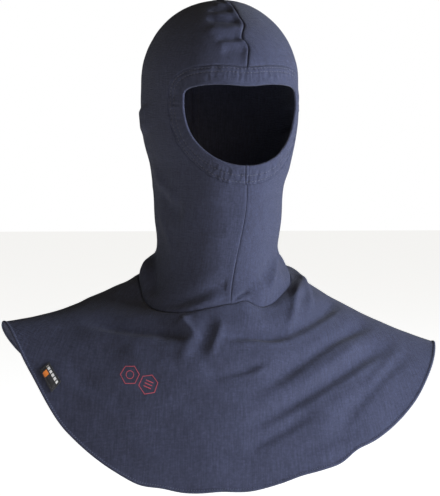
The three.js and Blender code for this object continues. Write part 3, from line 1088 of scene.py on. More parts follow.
@dataclass(frozen=True)
class LabelWeave:
    """A close satin weave of fine threads, with a plain square and a row of plain bars woven in."""

    name: str
    colour: Colour
    lit: Colour
    pale: Colour
    bright: Colour
    pitch: float = 0.00045
    twill_slant: float = 0.5
    warp_depth: float = 0.5
    twill_depth: float = 0.25
    lit_share: float = 0.6
    relief: float = 0.00012
    relief_strength: float = 0.6
    roughness: float = 0.42
    rub_scale: float = 700.0
    rub_roughness: float = 0.25
    bar_place: float = 0.003
    bar_half: float = 0.0015
    bar_length: float = 0.0046
    bar_share: float = 0.72
    bar_reach: float = 0.0115
    square_place: tuple[float, float] = (-0.0055, -0.0028)
    square_half: float = 0.003

    def material(self) -> bpy.types.Material:
        """Make the weave's material.

        Returns:
            The material.
        """
        nodes = MaterialNodes(self.name)
        u, v = nodes.cloth_measures()
        slanted = nodes.math("ADD", v, nodes.math("MULTIPLY", u, self.twill_slant))
        warp = nodes.shallow(nodes.wave(u, self.pitch), self.warp_depth)
        twill = nodes.shallow(nodes.wave(slanted, 2 * self.pitch), self.twill_depth)
        weave = nodes.math("MULTIPLY", warp, twill)
        ground = nodes.mix(nodes.math("MULTIPLY", weave, self.lit_share), self.colour, self.lit)
        ground = nodes.mix(self.bars(nodes, u, v), ground, self.pale)
        ground = nodes.mix(self.square(nodes, u, v), ground, self.bright)
        rub = nodes.math("MULTIPLY_ADD", nodes.noise(self.rub_scale), self.rub_roughness, self.roughness)
        nodes.give({"Base Color": ground, "Roughness": rub})
        nodes.bump(weave, self.relief, self.relief_strength)
        return nodes.material

    def bars(self, nodes: MaterialNodes, u: Socket, v: Socket) -> Socket:
        """Weave in a row of plain pale bars along one side.

        Args:
            nodes: The material's nodes.
            u: The weave's measure along the label.
            v: The weave's measure across it.

        Returns:
            Where the bars are, 0 or 1.
        """
        row = nodes.math("LESS_THAN", nodes.away(v, self.bar_place), self.bar_half)
        step = nodes.math("FRACT", nodes.math("DIVIDE", u, self.bar_length))
        bar = nodes.math("LESS_THAN", step, self.bar_share)
        inside = nodes.math("LESS_THAN", nodes.math("ABSOLUTE", u), self.bar_reach)
        return nodes.math("MULTIPLY", nodes.math("MULTIPLY", row, bar), inside)

    def square(self, nodes: MaterialNodes, u: Socket, v: Socket) -> Socket:
        """Return where a plain bright square is woven in."""
        near = [nodes.away(measure, middle) for measure, middle in zip((u, v), self.square_place)]
        return nodes.math("LESS_THAN", nodes.math("MAXIMUM", *near), self.square_half)


@dataclass(frozen=True)
class Transfer:
    """A thin printed transfer, a little rubbed."""

    name: str
    colour: Colour
    rubbed: Colour
    roughness: float = 0.55
    rub_roughness: float = 0.2
    grain: float = 1400.0
    relief: float = 0.0001
    relief_strength: float = 0.4

    RUB = Speckle(900, 3, 0.52, 0.72, 0.6)

    def material(self) -> bpy.types.Material:
        """Make the print's material.

        Returns:
            The material.
        """
        nodes = MaterialNodes(self.name)
        rub = nodes.speckle(self.RUB)
        nodes.give({
            "Base Color": nodes.mix(nodes.math("MULTIPLY", rub, self.RUB.share), self.colour, self.rubbed),
            "Roughness": nodes.math("MULTIPLY_ADD", rub, self.rub_roughness, self.roughness),
        })
        nodes.bump(nodes.noise(self.grain), self.relief, self.relief_strength)
        return nodes.material


@dataclass(frozen=True)
class PaleFloor:
    """A plain pale studio floor, lit a little from below."""

    name: str
    colour: Colour
    glow: float = 0.8
    roughness: float = 0.8
    cloud_scale: float = 9.0
    cloud_tone: float = 0.97

    def material(self) -> bpy.types.Material:
        """Make the floor's material.

        Returns:
            The material.
        """
        nodes = MaterialNodes(self.name)
        darker = tuple(self.cloud_tone * part for part in self.colour)
        nodes.give({
            "Base Color": nodes.mix(nodes.noise(self.cloud_scale), self.colour, darker),
            "Roughness": self.roughness,
            "Emission Color": (*WHITE, 1.0),
            "Emission Strength": self.glow,
        })
        return nodes.material


Finish = Knit | Thread | LabelWeave | Transfer | PaleFloor

HOOD_KNIT = Knit("hood_jersey")
BAND_KNIT = Knit("band_jersey", wale=0.001)
BIB_KNIT = Knit("bib_jersey")
HEM_THREAD = Thread("hem_thread", (0.09, 0.095, 0.145), (0.04, 0.042, 0.066))
NAVY_THREAD = Thread("navy_thread", (0.043, 0.047, 0.08), (0.018, 0.019, 0.032))
BLACK_WEAVE = LabelWeave(
    "label_satin",
    colour=(0.008, 0.008, 0.01),
    lit=(0.03, 0.03, 0.036),
    pale=(0.6, 0.6, 0.6),
    bright=(0.7, 0.2, 0.03),
)
RED_TRANSFER = Transfer("red_transfer", (0.36, 0.055, 0.08), (0.11, 0.045, 0.07))
STUDIO_FLOOR = PaleFloor("studio_floor", (0.86, 0.86, 0.86))


def spaced(*stops: tuple[float, int]) -> Array:
    """Space numbers from stop to stop in even steps.

    Args:
        stops: Each stop's value, and the number of steps that lead to it, 0 for the first.

    Returns:
        The numbers, each stop once.
    """
    parts = [np.array([stops[0][0]])]
    for (start, _), (end, steps) in zip(stops, stops[1:]):
        parts.append(np.linspace(start, end, steps + 1)[1:])
    return np.concatenate(parts)


def flat_grid(columns: int, rows: int) -> Mesh:
    """Make a flat grid with a map for the cloth.

    Args:
        columns: How many cells it has across.
        rows: How many cells it has down.

    Returns:
        The grid.
    """
    bm = bmesh.new()
    bm.loops.layers.uv.new(UV_NAME)
    bmesh.ops.create_grid(bm, x_segments=columns, y_segments=rows, size=0.5)
    return bm


def grid_places(bm: Mesh, columns: Array, rows: Array) -> tuple[Array, Array]:
    """Read the column and row values of a flat grid's points, also of points between its lines.

    Args:
        bm: The grid.
        columns: The value of each column's line.
        rows: The value of each row's line, from the top.

    Returns:
        The column value and the row value of each point.
    """
    share = (np.array([vert.co[:2] for vert in bm.verts]) + 0.5).clip(0, 1)
    across = np.interp(share[:, 0], np.linspace(0, 1, len(columns)), columns)
    down = np.interp(1 - share[:, 1], np.linspace(0, 1, len(rows)), rows)
    return across, down


def grid_lines(bm: Mesh, columns: int, rows: int) -> tuple[Array, Array]:
    """Return the numbers of the column line and the row line that each point of a flat grid lies on."""
    across, down = grid_places(bm, np.arange(columns + 1.0), np.arange(rows + 1.0))
    return np.rint(across).astype(int), np.rint(down).astype(int)


def lay_cloth(bm: Mesh, points: Array, uv: Array) -> None:
    """Move a flat grid's points to their places in millimetres, map its cloth in metres and close its seams.

    Args:
        bm: The flat grid.
        points: The place of each of its points.
        uv: The cloth's own two measures at each point.
    """
    layer = bm.loops.layers.uv[UV_NAME]
    bm.verts.index_update()
    for face in bm.faces:
        face.smooth = True
        for loop in face.loops:
            loop[layer].uv = uv[loop.vert.index] * MM
    for vert, point in zip(bm.verts, points):
        vert.co = point * MM
    bmesh.ops.remove_doubles(bm, verts=bm.verts, dist=TINY)


def to_object(bm: Mesh, name: str, finish: Finish) -> Piece:
    """Make an object of a mesh, in the scene.

    Args:
        bm: The mesh, which is used up.
        name: The object's name.
        finish: Its finish, made a material on its first use.

    Returns:
        The object.
    """
    mesh = bpy.data.meshes.new(name)
    bm.to_mesh(mesh)
    bm.free()
    mesh.materials.append(bpy.data.materials.get(finish.name) or finish.material())
    piece = bpy.data.objects.new(name, mesh)
    bpy.context.scene.collection.objects.link(piece)
    return piece


def thicken(piece: Piece, wall: float) -> Piece:
    """Give a cloth its thickness, inwards from its outer side.

    Args:
        piece: The cloth.
        wall: How thick it is.

    Returns:
        The same piece.
    """
    modifier = piece.modifiers.new("wall", "SOLIDIFY")
    modifier.thickness = wall * MM
    modifier.offset = -1.0
    return piece


def set_on_body(pieces: Iterable[Piece]) -> None:
    """Set pieces on the body.

    Args:
        pieces: The pieces.
    """
    for piece in pieces:
        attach(piece, BODY)


@dataclass(frozen=True)
class Stitch:
    """One stitch of thread that shows on the cloth, as a small long bead."""

    length: float
    width: float
    height: float

    SIDES = 6
    RINGS = 4
    # how far ahead and behind on its row a stitch takes its direction from
    AIM = 0.5

    def add(self, bm: Mesh, centre: Array, ahead: Array, outward: Array) -> None:
        """Add the stitch to a mesh.

        Args:
            bm: The mesh that takes it.
            centre: The stitch's middle, in millimetres.
            ahead: The direction of its thread.
            outward: The direction that faces away from the cloth.
        """
        long, out = Vector(ahead).normalized(), Vector(outward).normalized()
        across = out.cross(long).normalized()
        turn = Matrix((across, long.cross(across), long)).transposed().to_4x4()
        size = Matrix.Diagonal((self.width / 2 * MM, self.height / 2 * MM, self.length / 2 * MM, 1.0))
        place = Matrix.Translation(Vector(centre) * MM) @ turn @ size
        made = bmesh.ops.create_uvsphere(
            bm, u_segments=self.SIDES, v_segments=self.RINGS, radius=1.0, matrix=place
        )
        for vert in made["verts"]:
            for face in vert.link_faces:
                face.smooth = True

    def run(self, bm: Mesh, line: Array, outward: Array, pitch: float) -> int:
        """Sew a row of stitches along a line.

        Args:
            bm: The mesh that takes them.
            line: Points close together along the row, in millimetres.
            outward: The outward direction at each point.
            pitch: The distance from one stitch to the next.

        Returns:
            How many stitches were sewn.
        """
        length = lengths(line)
        count = int(length[-1] / pitch)
        at = (np.arange(count) + 0.5) * length[-1] / count
        ahead = along(line, length, at + self.AIM) - along(line, length, at - self.AIM)
        for place, direction, out in zip(along(line, length, at), ahead, along(outward, length, at)):
            self.add(bm, place, direction, out)
        return count


class Seam(Enum):
    """The seams whose allowances show inside the hood."""

    CROWN = "crown_allowance"
    CHIN = "chin_allowance"
    NECK = "neckline_allowance"


class Side(Enum):
    """The hood's two halves, by the wearer's sides."""

    RIGHT = "hood_right"
    LEFT = "hood_left"


@dataclass
class Allowance:
    """The overlocked cloth edges inside a seam: a low strip pressed to the wall, with thread across it.

    The crown's starts a little way down the front, passes over the top and runs down the back, in levels.
    """

    form: HoodForm
    wall: float = 1.5
    steps: int = 150
    chin_level: float = 4.05
    front_run: float = 1.2
    front_drop: float = 0.8
    back_run: float = 8.0
    stitch: Stitch = Stitch(4.6, 0.7, 0.5)
    pitch: float = 3.0
    thread_at: float = 3.1
    thread_depth: float = 0.9
    thread_lean: float = 0.2

    # heights below the wall's inner side at distances from the seam, towards the wearer's right
    STRIP = Profile((-1.6, -1.2, 0.2, 2.5, 4.6, 5.4, 5.6), (-0.4, 0.35, 0.85, 0.9, 0.8, 0.4, -0.3))

    def path(self, kind: Seam) -> tuple[Array, Array]:
        """Follow a seam on the hood.

        Args:
            kind: The seam.

        Returns:
            Points along it, and the outward direction at each.
        """
        share = np.linspace(0, 1, self.steps + 1)
        turn, level = np.full_like(share, self.form.SEAM_TURN), np.full_like(share, self.form.NECK_LEVEL)
        if kind is Seam.NECK:
            turn = -BACK_TURN + 2 * BACK_TURN * share
        elif kind is Seam.CHIN:
            level = self.chin_level + (self.form.NECK_LEVEL - self.chin_level) * share
        else:
            run = share * (self.front_run + self.back_run) - self.front_run
            turn = np.where(run < 0, self.form.SEAM_TURN, BACK_TURN)
            level = self.form.CROWN_LEVEL + np.where(run < 0, -run * self.front_drop / self.front_run, run)
        turn = self.form.stray(turn, level)
        outward = self.form.neck_outward(turn) if kind is Seam.NECK else self.form.outward(turn, level)
        return self.form.folded(turn, level), outward

    def build(self, kind: Seam) -> Piece:
        """Make a seam's allowance with its thread.

        Args:
            kind: The seam.

        Returns:
            The allowance, as one object.
        """
        line, outward = self.path(kind)
        side = np.cross(unit(np.gradient(line, axis=0)), outward)
        cells = len(self.STRIP.at) - 1
        bm = flat_grid(cells, self.steps)
        column, row = grid_lines(bm, cells, self.steps)
        across = np.array(self.STRIP.at)[column]
        below = self.STRIP(across) + self.wall
        points = line[row] + side[row] * across[:, None] - outward[row] * below[:, None]
        lay_cloth(bm, points, np.stack([across, lengths(line)[row]], axis=1))
        thread = line + side * self.thread_at - outward * (self.wall + self.thread_depth)
        self.sew(bm, thread, side, outward)
        return to_object(bm, kind.value, HOOD_KNIT)

    def sew(self, bm: Mesh, line: Array, side: Array, outward: Array) -> None:
        """Add the thread that crosses an allowance, a stitch at each step.

        Args:
            bm: The mesh that takes it.
            line: The middle of the stitches' row.
            side: The direction across the allowance at each point of the row.
            outward: The hood's outward direction at each point.
        """
        length, ahead = lengths(line), np.gradient(line, axis=0)
        for at in np.arange(self.pitch, length[-1], self.pitch):
            k = int(np.searchsorted(length, at))
            self.stitch.add(bm, line[k], side[k] + self.thread_lean * ahead[k], -outward[k])

    def dress(self, pieces: Iterable[Piece]) -> None:
        """Set the allowances on the body."""
        set_on_body(pieces)


@dataclass
class Hood:
    """The hood's two halves, sewn together from the brow over the crown to the nape and below the chin."""

    form: HoodForm
    face: FaceOutline
    band_width: float
    wall: float = 1.5
    seam_gap: float = 0.3
    face_gap: float = 0.05
    crowding: float = 0.72
    columns: int = 150
    edge_reach: float = 6.0
    outline_steps: int = 360
    brow_crease: float = 1.4
    crease_width: float = 0.9
    cloth_radius: float = 88.0
    flat: tuple[float, float] = (0.31, 0.4)
    cut_area: float = 0.076
    levels: Array = field(default_factory=lambda: spaced((-1, 0), (0, 72), (7.9, 104), (7.96, 2), (8, 3)))

    def build(self) -> dict[Side, Piece]:
        """Return both halves as objects."""
        return {side: self.build_half(side) for side in Side}

    def turns(self, side: Side) -> Array:
        """Space the columns of a half, closest together at its two seams.

        Args:
            side: The half.

        Returns:
            The columns' turns.
        """
        seam = self.form.SEAM_TURN
        start, end = (-BACK_TURN, seam) if side is Side.RIGHT else (seam, BACK_TURN)
        share = np.linspace(0, 1, self.columns + 1)
        share = share - self.crowding * np.sin(2 * np.pi * share) / (2 * np.pi)
        return start + (end - start) * share

    def build_half(self, side: Side) -> Piece:
        """Make one half of the hood with the face cut out of it.

        Args:
            side: The half.

        Returns:
            The half, as one object.
        """
        columns = self.turns(side)
        seam = self.face.set_out(self.face.edge(self.outline_steps), self.band_width + self.face_gap)
        bm = flat_grid(self.columns, len(self.levels) - 1)
        self.refine(bm, columns, seam)
        self.cut_face(bm, columns, seam)
        turn, level, near, share, away = self.measure(bm, columns, seam)
        edge = np.array([vert.is_boundary for vert in bm.verts]) & (np.abs(away) < self.edge_reach)
        turn[edge], level[edge] = self.face.place(near[edge])
        away[edge] = 0.0
        turn = np.clip(turn, columns[0], columns[-1])
        points = self.form.surface(turn, level, -self.crease(share, away))
        shift = -self.seam_gap / 2 if side is Side.RIGHT else self.seam_gap / 2
        lay_cloth(bm, points + np.array([shift, 0, 0]), self.cloth_map(side, turn, level))
        bmesh.ops.dissolve_degenerate(bm, edges=bm.edges, dist=TINY)
        return thicken(to_object(bm, side.value + "_cloth", HOOD_KNIT), self.wall)

    def measure(self, bm: Mesh, columns: Array, seam: Array) -> tuple[Array, Array, Array, Array, Array]:
        """Find where a flat grid's points lie on the hood and round the band's seam.

        Args:
            bm: The flat grid.
            columns: The turns of its columns.
            seam: The band's seam, in the flat.

        Returns:
            The points' turns and levels, the seam's nearest points, their shares of the way round, and the
            distances from the seam, below zero within it and endless at the back.
        """
        turn, level = grid_places(bm, columns, self.levels)
        flat = self.face.flat(turn, self.form.base(turn, level))
        near, share, away = self.face.nearest(seam, flat)
        return turn, level, near, share, np.where(in_front(turn), away, np.inf)

    def refine(self, bm: Mesh, columns: Array, seam: Array) -> None:
        """Halve the cells of a flat grid where the band's seam runs through them.

        Args:
            bm: The flat grid.
            columns: The turns of its columns.
            seam: The band's seam, in the flat.
        """
        close = np.abs(self.measure(bm, columns, seam)[-1]) < self.edge_reach
        bm.verts.index_update()
        edges = [edge for edge in bm.edges if all(close[vert.index] for vert in edge.verts)]
        bmesh.ops.subdivide_edges(bm, edges=edges, cuts=1, use_grid_fill=True)

    def cut_face(self, bm: Mesh, columns: Array, seam: Array) -> None:
        """Delete the cells of a flat grid that lie within the band's seam.

        Args:
            bm: The flat grid.
            columns: The turns of its columns.
            seam: The band's seam, in the flat.
        """
        inside = self.measure(bm, columns, seam)[-1] < 0
        cut = [vert for vert, gone in zip(bm.verts, inside) if gone]
        bmesh.ops.delete(bm, geom=cut, context="VERTS")

    def crease(self, share: Array, away: Array) -> Array:
        """Return the depth of the crease at the band's seam, deepest over the brow."""
        fall = np.exp(-np.clip(away, 0, None) / self.crease_width)
        return self.brow_crease * self.face.brow(share) * fall

    def cloth_map(self, side: Side, turn: Array, level: Array) -> Array:
        """Measure the cloth of a half.

        Args:
            side: The half.
            turn: The turn of each point.
            level: The level of each point.

        Returns:
            The measures across from the side of the head and down from the crown.
        """
        middle = -SIDE_TURN if side is Side.RIGHT else SIDE_TURN
        dome = self.form.dome(level)
        down = self.cloth_radius * dome + self.form.curves["drop"](np.maximum(level, 0))
        return np.stack([np.radians(turn - middle) * self.cloth_radius * np.sin(dome), -down], axis=1)

    def dress(self, halves: dict[Side, Piece]) -> None:
        """Set each half on the body, in place of its solid.

        Args:
            halves: The two halves.
        """
        set_on_body(halves.values())
        for side, piece in halves.items():
            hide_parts(side.value)


@dataclass
class FaceBand:
    """The band round the face opening: a strip of knit turned in half, sewn on and stitched down twice."""

    form: HoodForm
    face: FaceOutline
    width: float = 20.0
    girth: float = 430.0
    steps: int = 380
    brow_dip: float = 1.4
    brow_dip_width: float = 0.8
    row_groove: float = 0.5
    row_width: float = 0.75
    join_depth: float = 1.3
    join_offset: float = 2.1
    join_width: float = 0.75
    join_rise: float = 0.4
    join_reach: float = 1.5
    stitch: Stitch = Stitch(2.3, 0.85, 0.7)
    stitch_rise: float = 0.1
    pitch: float = 3.8
    flat: tuple[float, float] = (0.45, 0.024)

    # heights of the band's two sides over the hood at distances from the opening's edge
    OUTER = Profile(
        (0, 0.15, 0.5, 1.2, 3, 8, 14, 18, 20), (-0.85, -0.2, 0.4, 0.7, 0.8, 0.55, 0.35, 0.15, 0.02)
    )
    INNER = Profile((0, 0.15, 0.5, 1.2, 3, 17, 20, 23), (-0.85, -1.5, -2.1, -2.5, -2.7, -2.7, -3.7, -3.8))
    # where the mesh has its rows on those sides: distances, and the steps that lead to each
    OUTER_STOPS = ((19, 5), (16.5, 8), (15, 3), (9.5, 14), (3, 6), (0.5, 5), (0, 4))
    INNER_STOPS = ((0.5, 3), (3, 4), (23, 14))
    # the way back under the hood's edge, from the allowance's end to the seam
    ALLOWANCE = ((23.2, -3.45), (23, -3.1), (21.5, -3.0), (20.1, -2.9))
    # each row of stitches: its distance from the edge at the chin, and how much more it is at the brow
    STITCH_ROWS = ((10.5, 3.5), (17.3, 0.6))
    WAVES = (Wave(17, 0.35),)
    # the gathers that the stitches draw across the band, and the distances over which they begin
    PUCKER = Wave(3.4, 0.95)
    PUCKER_ACROSS = 12.0
    PUCKER_FROM = (2.0, 9.0)

    def rows_at(self, share: Array) -> list[Array]:
        """Return how far the two rows of stitches lie from the edge, at shares of the way round."""
        brow = (1 - np.cos(2 * np.pi * share)) / 2
        return [chin + more * brow for chin, more in self.STITCH_ROWS]

    def outer_height(self, share: Array, away: Array) -> Array:
        """Work out the height of the band's outer side.

        Args:
            share: Shares of the way round from the chin.
            away: Distances from the opening's edge.

        Returns:
            A height over the hood for each.
        """
        dip = self.brow_dip * self.face.brow(share) * np.exp((away - self.width) / self.brow_dip_width)
        height = self.OUTER(away) - dip
        for row in self.rows_at(share):
            height = height - self.row_groove * bell(away - row, self.row_width)
        return height + self.pucker(share, away)

    def pucker(self, share: Array, away: Array) -> Array:
        """Work out the height of the gathers.

        Args:
            share: Shares of the way round from the chin.
            away: Distances from the opening's edge.

        Returns:
            A height for each.
        """
        angle, radius = 2 * np.pi * share, self.girth / (2 * np.pi)
        across = away * self.PUCKER.length / self.PUCKER_ACROSS
        points = np.stack([radius * np.cos(angle), radius * np.sin(angle), across], axis=1)
        return unevenness(points, (self.PUCKER,)) * smoothstep(away, *self.PUCKER_FROM)

    def point(self, edge: Array, away: Array, height: Array) -> Array:
        """Set points of the band on the hood, with the join of its ends pressed in.

        Args:
            edge: The opening's edge at each point, in the flat.
            away: The distance from that edge.
            height: The height over the hood.

        Returns:
            The points, one a row.
        """
        turn, level = self.face.place(self.face.set_out(edge, away))
        beside = np.radians(turn - self.form.seam_turn(level)) * self.face.radius
        creases = self.join_depth * bell(np.abs(beside) - self.join_offset, self.join_width)
        join = self.join_rise * bell(beside, 2 * self.join_offset) - creases
        chin, outer = edge[:, 1] < 0, np.clip(height + self.join_reach, 0, 1)
        points = self.form.folded(turn, level, height + join * chin * outer)
        return points + self.form.outward(turn, level) * unevenness(points, self.WAVES)[:, None]

    def way_round(self) -> list[tuple[float, float | None]]:
        """Go round the band's cross-section, from the seam over the outer side and back.

        Returns:
            Distances from the opening's edge and heights over the hood, with no height on the outer side,
            which changes on its way round the face.
        """
        outer = [(away, None) for away in spaced((self.width, 0), *self.OUTER_STOPS)]
        inner = spaced((0.0, 0), *self.INNER_STOPS)[1:]
        return [*outer, *zip(inner, self.INNER(inner)), *self.ALLOWANCE, outer[0]]

    def build(self) -> Piece:
        """Make the band as one closed ring of cloth.

        Returns:
            The band.
        """
        way = self.way_round()
        edge, share = self.face.edge(self.steps), np.arange(self.steps) / self.steps
        rings = []
        for distance, height in way:
            away = np.full(self.steps, distance)
            over = self.outer_height(share, away) if height is None else np.full(self.steps, height)
            rings.append(self.point(edge, away, over))
        bm = flat_grid(self.steps, len(way) - 1)
        column, row = grid_lines(bm, self.steps, len(way) - 1)
        across = lengths(np.array([[distance] for distance, _ in way]))
        uv = np.stack([column / self.steps * self.girth, across[row]], axis=1)
        lay_cloth(bm, np.array(rings)[row, column % self.steps], uv)
        bmesh.ops.recalc_face_normals(bm, faces=bm.faces)
        return to_object(bm, "face_band_cloth", BAND_KNIT)

    def sew(self) -> Piece:
        """Sew the two rows of stitches round the opening.

        Returns:
            The stitches, as one object.
        """
        bm = bmesh.new()
        edge, share = self.face.edge(self.steps), np.arange(self.steps) / self.steps
        count = 0
        for away in self.rows_at(share):
            line = self.point(edge, away, self.outer_height(share, away) + self.stitch_rise)
            outward = self.form.outward(*self.face.place(self.face.set_out(edge, away)))
            count += self.stitch.run(bm, close_ring(line), close_ring(outward), self.pitch)
        log.info("face band: %d stitches", count)
        return to_object(bm, "face_band_stitches", NAVY_THREAD)

    def dress(self, band: Piece, stitches: Piece) -> None:
        """Set the band on the body, in place of its solid, with its stitches.

        Args:
            band: The band.
            stitches: Its stitches.
        """
        set_on_body((band, stitches))
        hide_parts("face_band")


@dataclass
class Bib:
    """The shoulder bib: one ring of knit from the neckline to a narrow overlocked hem."""

    form: BibForm
    wall: float = 1.4
    columns: int = 420
    front_crowding: float = 20.0
    cone: float = 0.57
    neck_radius: float = 148.0
    flat: tuple[float, float] = (0.68, 0.45)
    cut_area: float = 0.175
    hem_stitch: Stitch = Stitch(3.4, 0.7, 0.55)
    hem_pitch: float = 2.7
    hem_row: float = 1.7
    hem_half: float = 1.2
    hem_slant: float = 1.1
    hem_rise: float = 0.15
    places: Array = field(default_factory=lambda: spaced((0.002, 0), (0.02, 6), (0.97, 84), (1, 11)))

    def turns(self) -> Array:
        """Return the turns of the bib's columns, closest together across the chest."""
        share = np.linspace(-0.5, 0.5, self.columns + 1)
        return 2 * BACK_TURN * share - self.front_crowding * np.sin(2 * np.pi * share)

    def build(self) -> Piece:
        """Make the bib as one ring of cloth.

        Returns:
            The bib.
        """
        bm = flat_grid(self.columns, len(self.places) - 1)
        turn, place = grid_places(bm, self.turns(), self.places)
        lay_cloth(bm, self.form.surface(turn, place), self.cloth_map(turn, place))
        return thicken(to_object(bm, "bib_cloth", BIB_KNIT), self.wall)

    def cloth_map(self, turn: Array, place: Array) -> Array:
        """Return the cloth's own measures: the ring laid flat, as it was cut."""
        radius, angle = self.neck_radius + self.form.reach(turn) * place, np.radians(turn) * self.cone
        return np.stack([radius * np.sin(angle), -radius * np.cos(angle)], axis=1)

    def sew(self) -> Piece:
        """Wrap the hem with its overlock thread, a slanted stitch at each step.

        Returns:
            The thread, as one object.
        """
        bm = bmesh.new()
        turn = self.turns()[:-1]
        distances = (self.hem_row - self.hem_half, self.hem_row + self.hem_half)
        places = [1 - distance / self.form.reach(turn) for distance in distances]
        line, inner = (close_ring(self.form.surface(turn, place, self.hem_rise)) for place in places)
        outward = close_ring(self.form.outward(turn, np.ones_like(turn)))
        length = lengths(line)
        count = int(length[-1] / self.hem_pitch)
        at = np.arange(count) * length[-1] / count
        low, out = along(line, length, at), along(outward, length, at)
        high = along(inner, length, (at + self.hem_slant) % length[-1])
        for start, end, direction in zip(low, high, out):
            self.hem_stitch.add(bm, (start + end) / 2, end - start, direction)
        log.info("hem: %d stitches", count)
        return to_object(bm, "hem_overlock", HEM_THREAD)

    def dress(self, bib: Piece, thread: Piece) -> None:
        """Set the bib on the body, in place of its solid, with its hem's thread.

        Args:
            bib: The bib.
            thread: Its hem's thread.
        """
        set_on_body((bib, thread))
        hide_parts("bib")


@dataclass
class BibPatch:
    """A flat piece's place on the bib: its middle, and how its own flat measures lie on the cloth."""

    form: BibForm
    turn: float
    place: float
    tilt: float = 0.0

    def on_cloth(self, flat: Array, height: Array | float) -> Array:
        """Lay flat places about the patch's middle on the bib.

        Args:
            flat: The places, across and up, in millimetres.
            height: Their height over the cloth.

        Returns:
            The points, one a row.
        """
        turn, place = np.array([self.turn]), np.array([self.place])
        per_turn = self.form.span(turn + SLOPE_TURN, place, turn, place) / SLOPE_TURN
        per_place = self.form.span(turn, place + SLOPE_PLACE, turn, place) / SLOPE_PLACE
        cosine, sine = math.cos(math.radians(self.tilt)), math.sin(math.radians(self.tilt))
        x = flat[:, 0] * cosine - flat[:, 1] * sine
        y = flat[:, 0] * sine + flat[:, 1] * cosine
        return self.form.surface(self.turn + x / per_turn, self.place - y / per_place, height)

    def outward(self, count: int) -> Array:
        """Return the cloth's outward direction at the patch's middle, for a number of points."""
        middle = self.form.outward(np.array([self.turn]), np.array([self.place]))
        return np.repeat(middle, count, axis=0)


@dataclass
class SideLabel:
    """The small woven label sewn on near the hem, with a stitched border."""

    patch: BibPatch
    length: float = 27.0
    width: float = 14.0
    columns: int = 54
    rows: int = 28
    gap: float = 0.45
    wall: float = 0.7
    border: float = 1.6
    puff: float = 0.35
    puff_from: float = 4.0
    press: float = 0.2
    press_width: float = 0.5
    stitch: Stitch = Stitch(1.7, 0.5, 0.4)
    stitch_rise: float = 0.05
    pitch: float = 2.3
    side_points: int = 30

    def build(self) -> Piece:
        """Make the label as a thin cloth over the bib, pressed down along its stitches.

        Returns:
            The label.
        """
        x_half, y_half = self.length / 2, self.width / 2
        bm = flat_grid(self.columns, self.rows)
        x, y = grid_places(bm, np.array([-x_half, x_half]), np.array([-y_half, y_half]))
        inside = np.minimum(x_half - np.abs(x), y_half - np.abs(y))
        press = self.press * bell(inside - self.border, self.press_width)
        height = self.gap + self.wall + self.puff * smoothstep(inside, self.border, self.puff_from) - press
        flat = np.stack([x, -y], axis=1)
        lay_cloth(bm, self.patch.on_cloth(flat, height), flat)
        return thicken(to_object(bm, "side_label_weave", BLACK_WEAVE), self.wall)

    def sew(self) -> Piece:
        """Sew the stitches along the label's border.

        Returns:
            The stitches, as one object.
        """
        bm = bmesh.new()
        x, y = self.length / 2 - self.border, self.width / 2 - self.border
        corners = close_ring(np.array([[-x, -y], [x, -y], [x, y], [-x, y]]))
        outward = self.patch.outward(self.side_points)
        for start, end in zip(corners, corners[1:]):
            flat = np.linspace(start, end, self.side_points)
            line = self.patch.on_cloth(flat, self.gap + self.wall + self.stitch_rise)
            self.stitch.run(bm, line, outward, self.pitch)
        return to_object(bm, "side_label_stitches", NAVY_THREAD)

    def dress(self, label: Piece, stitches: Piece) -> None:
        """Set the label on the body, in place of its solid, with its stitches.

        Args:
            label: The label.
            stitches: Its stitches.
        """
        set_on_body((label,))
        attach(stitches, BODY)
        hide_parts("side_label")


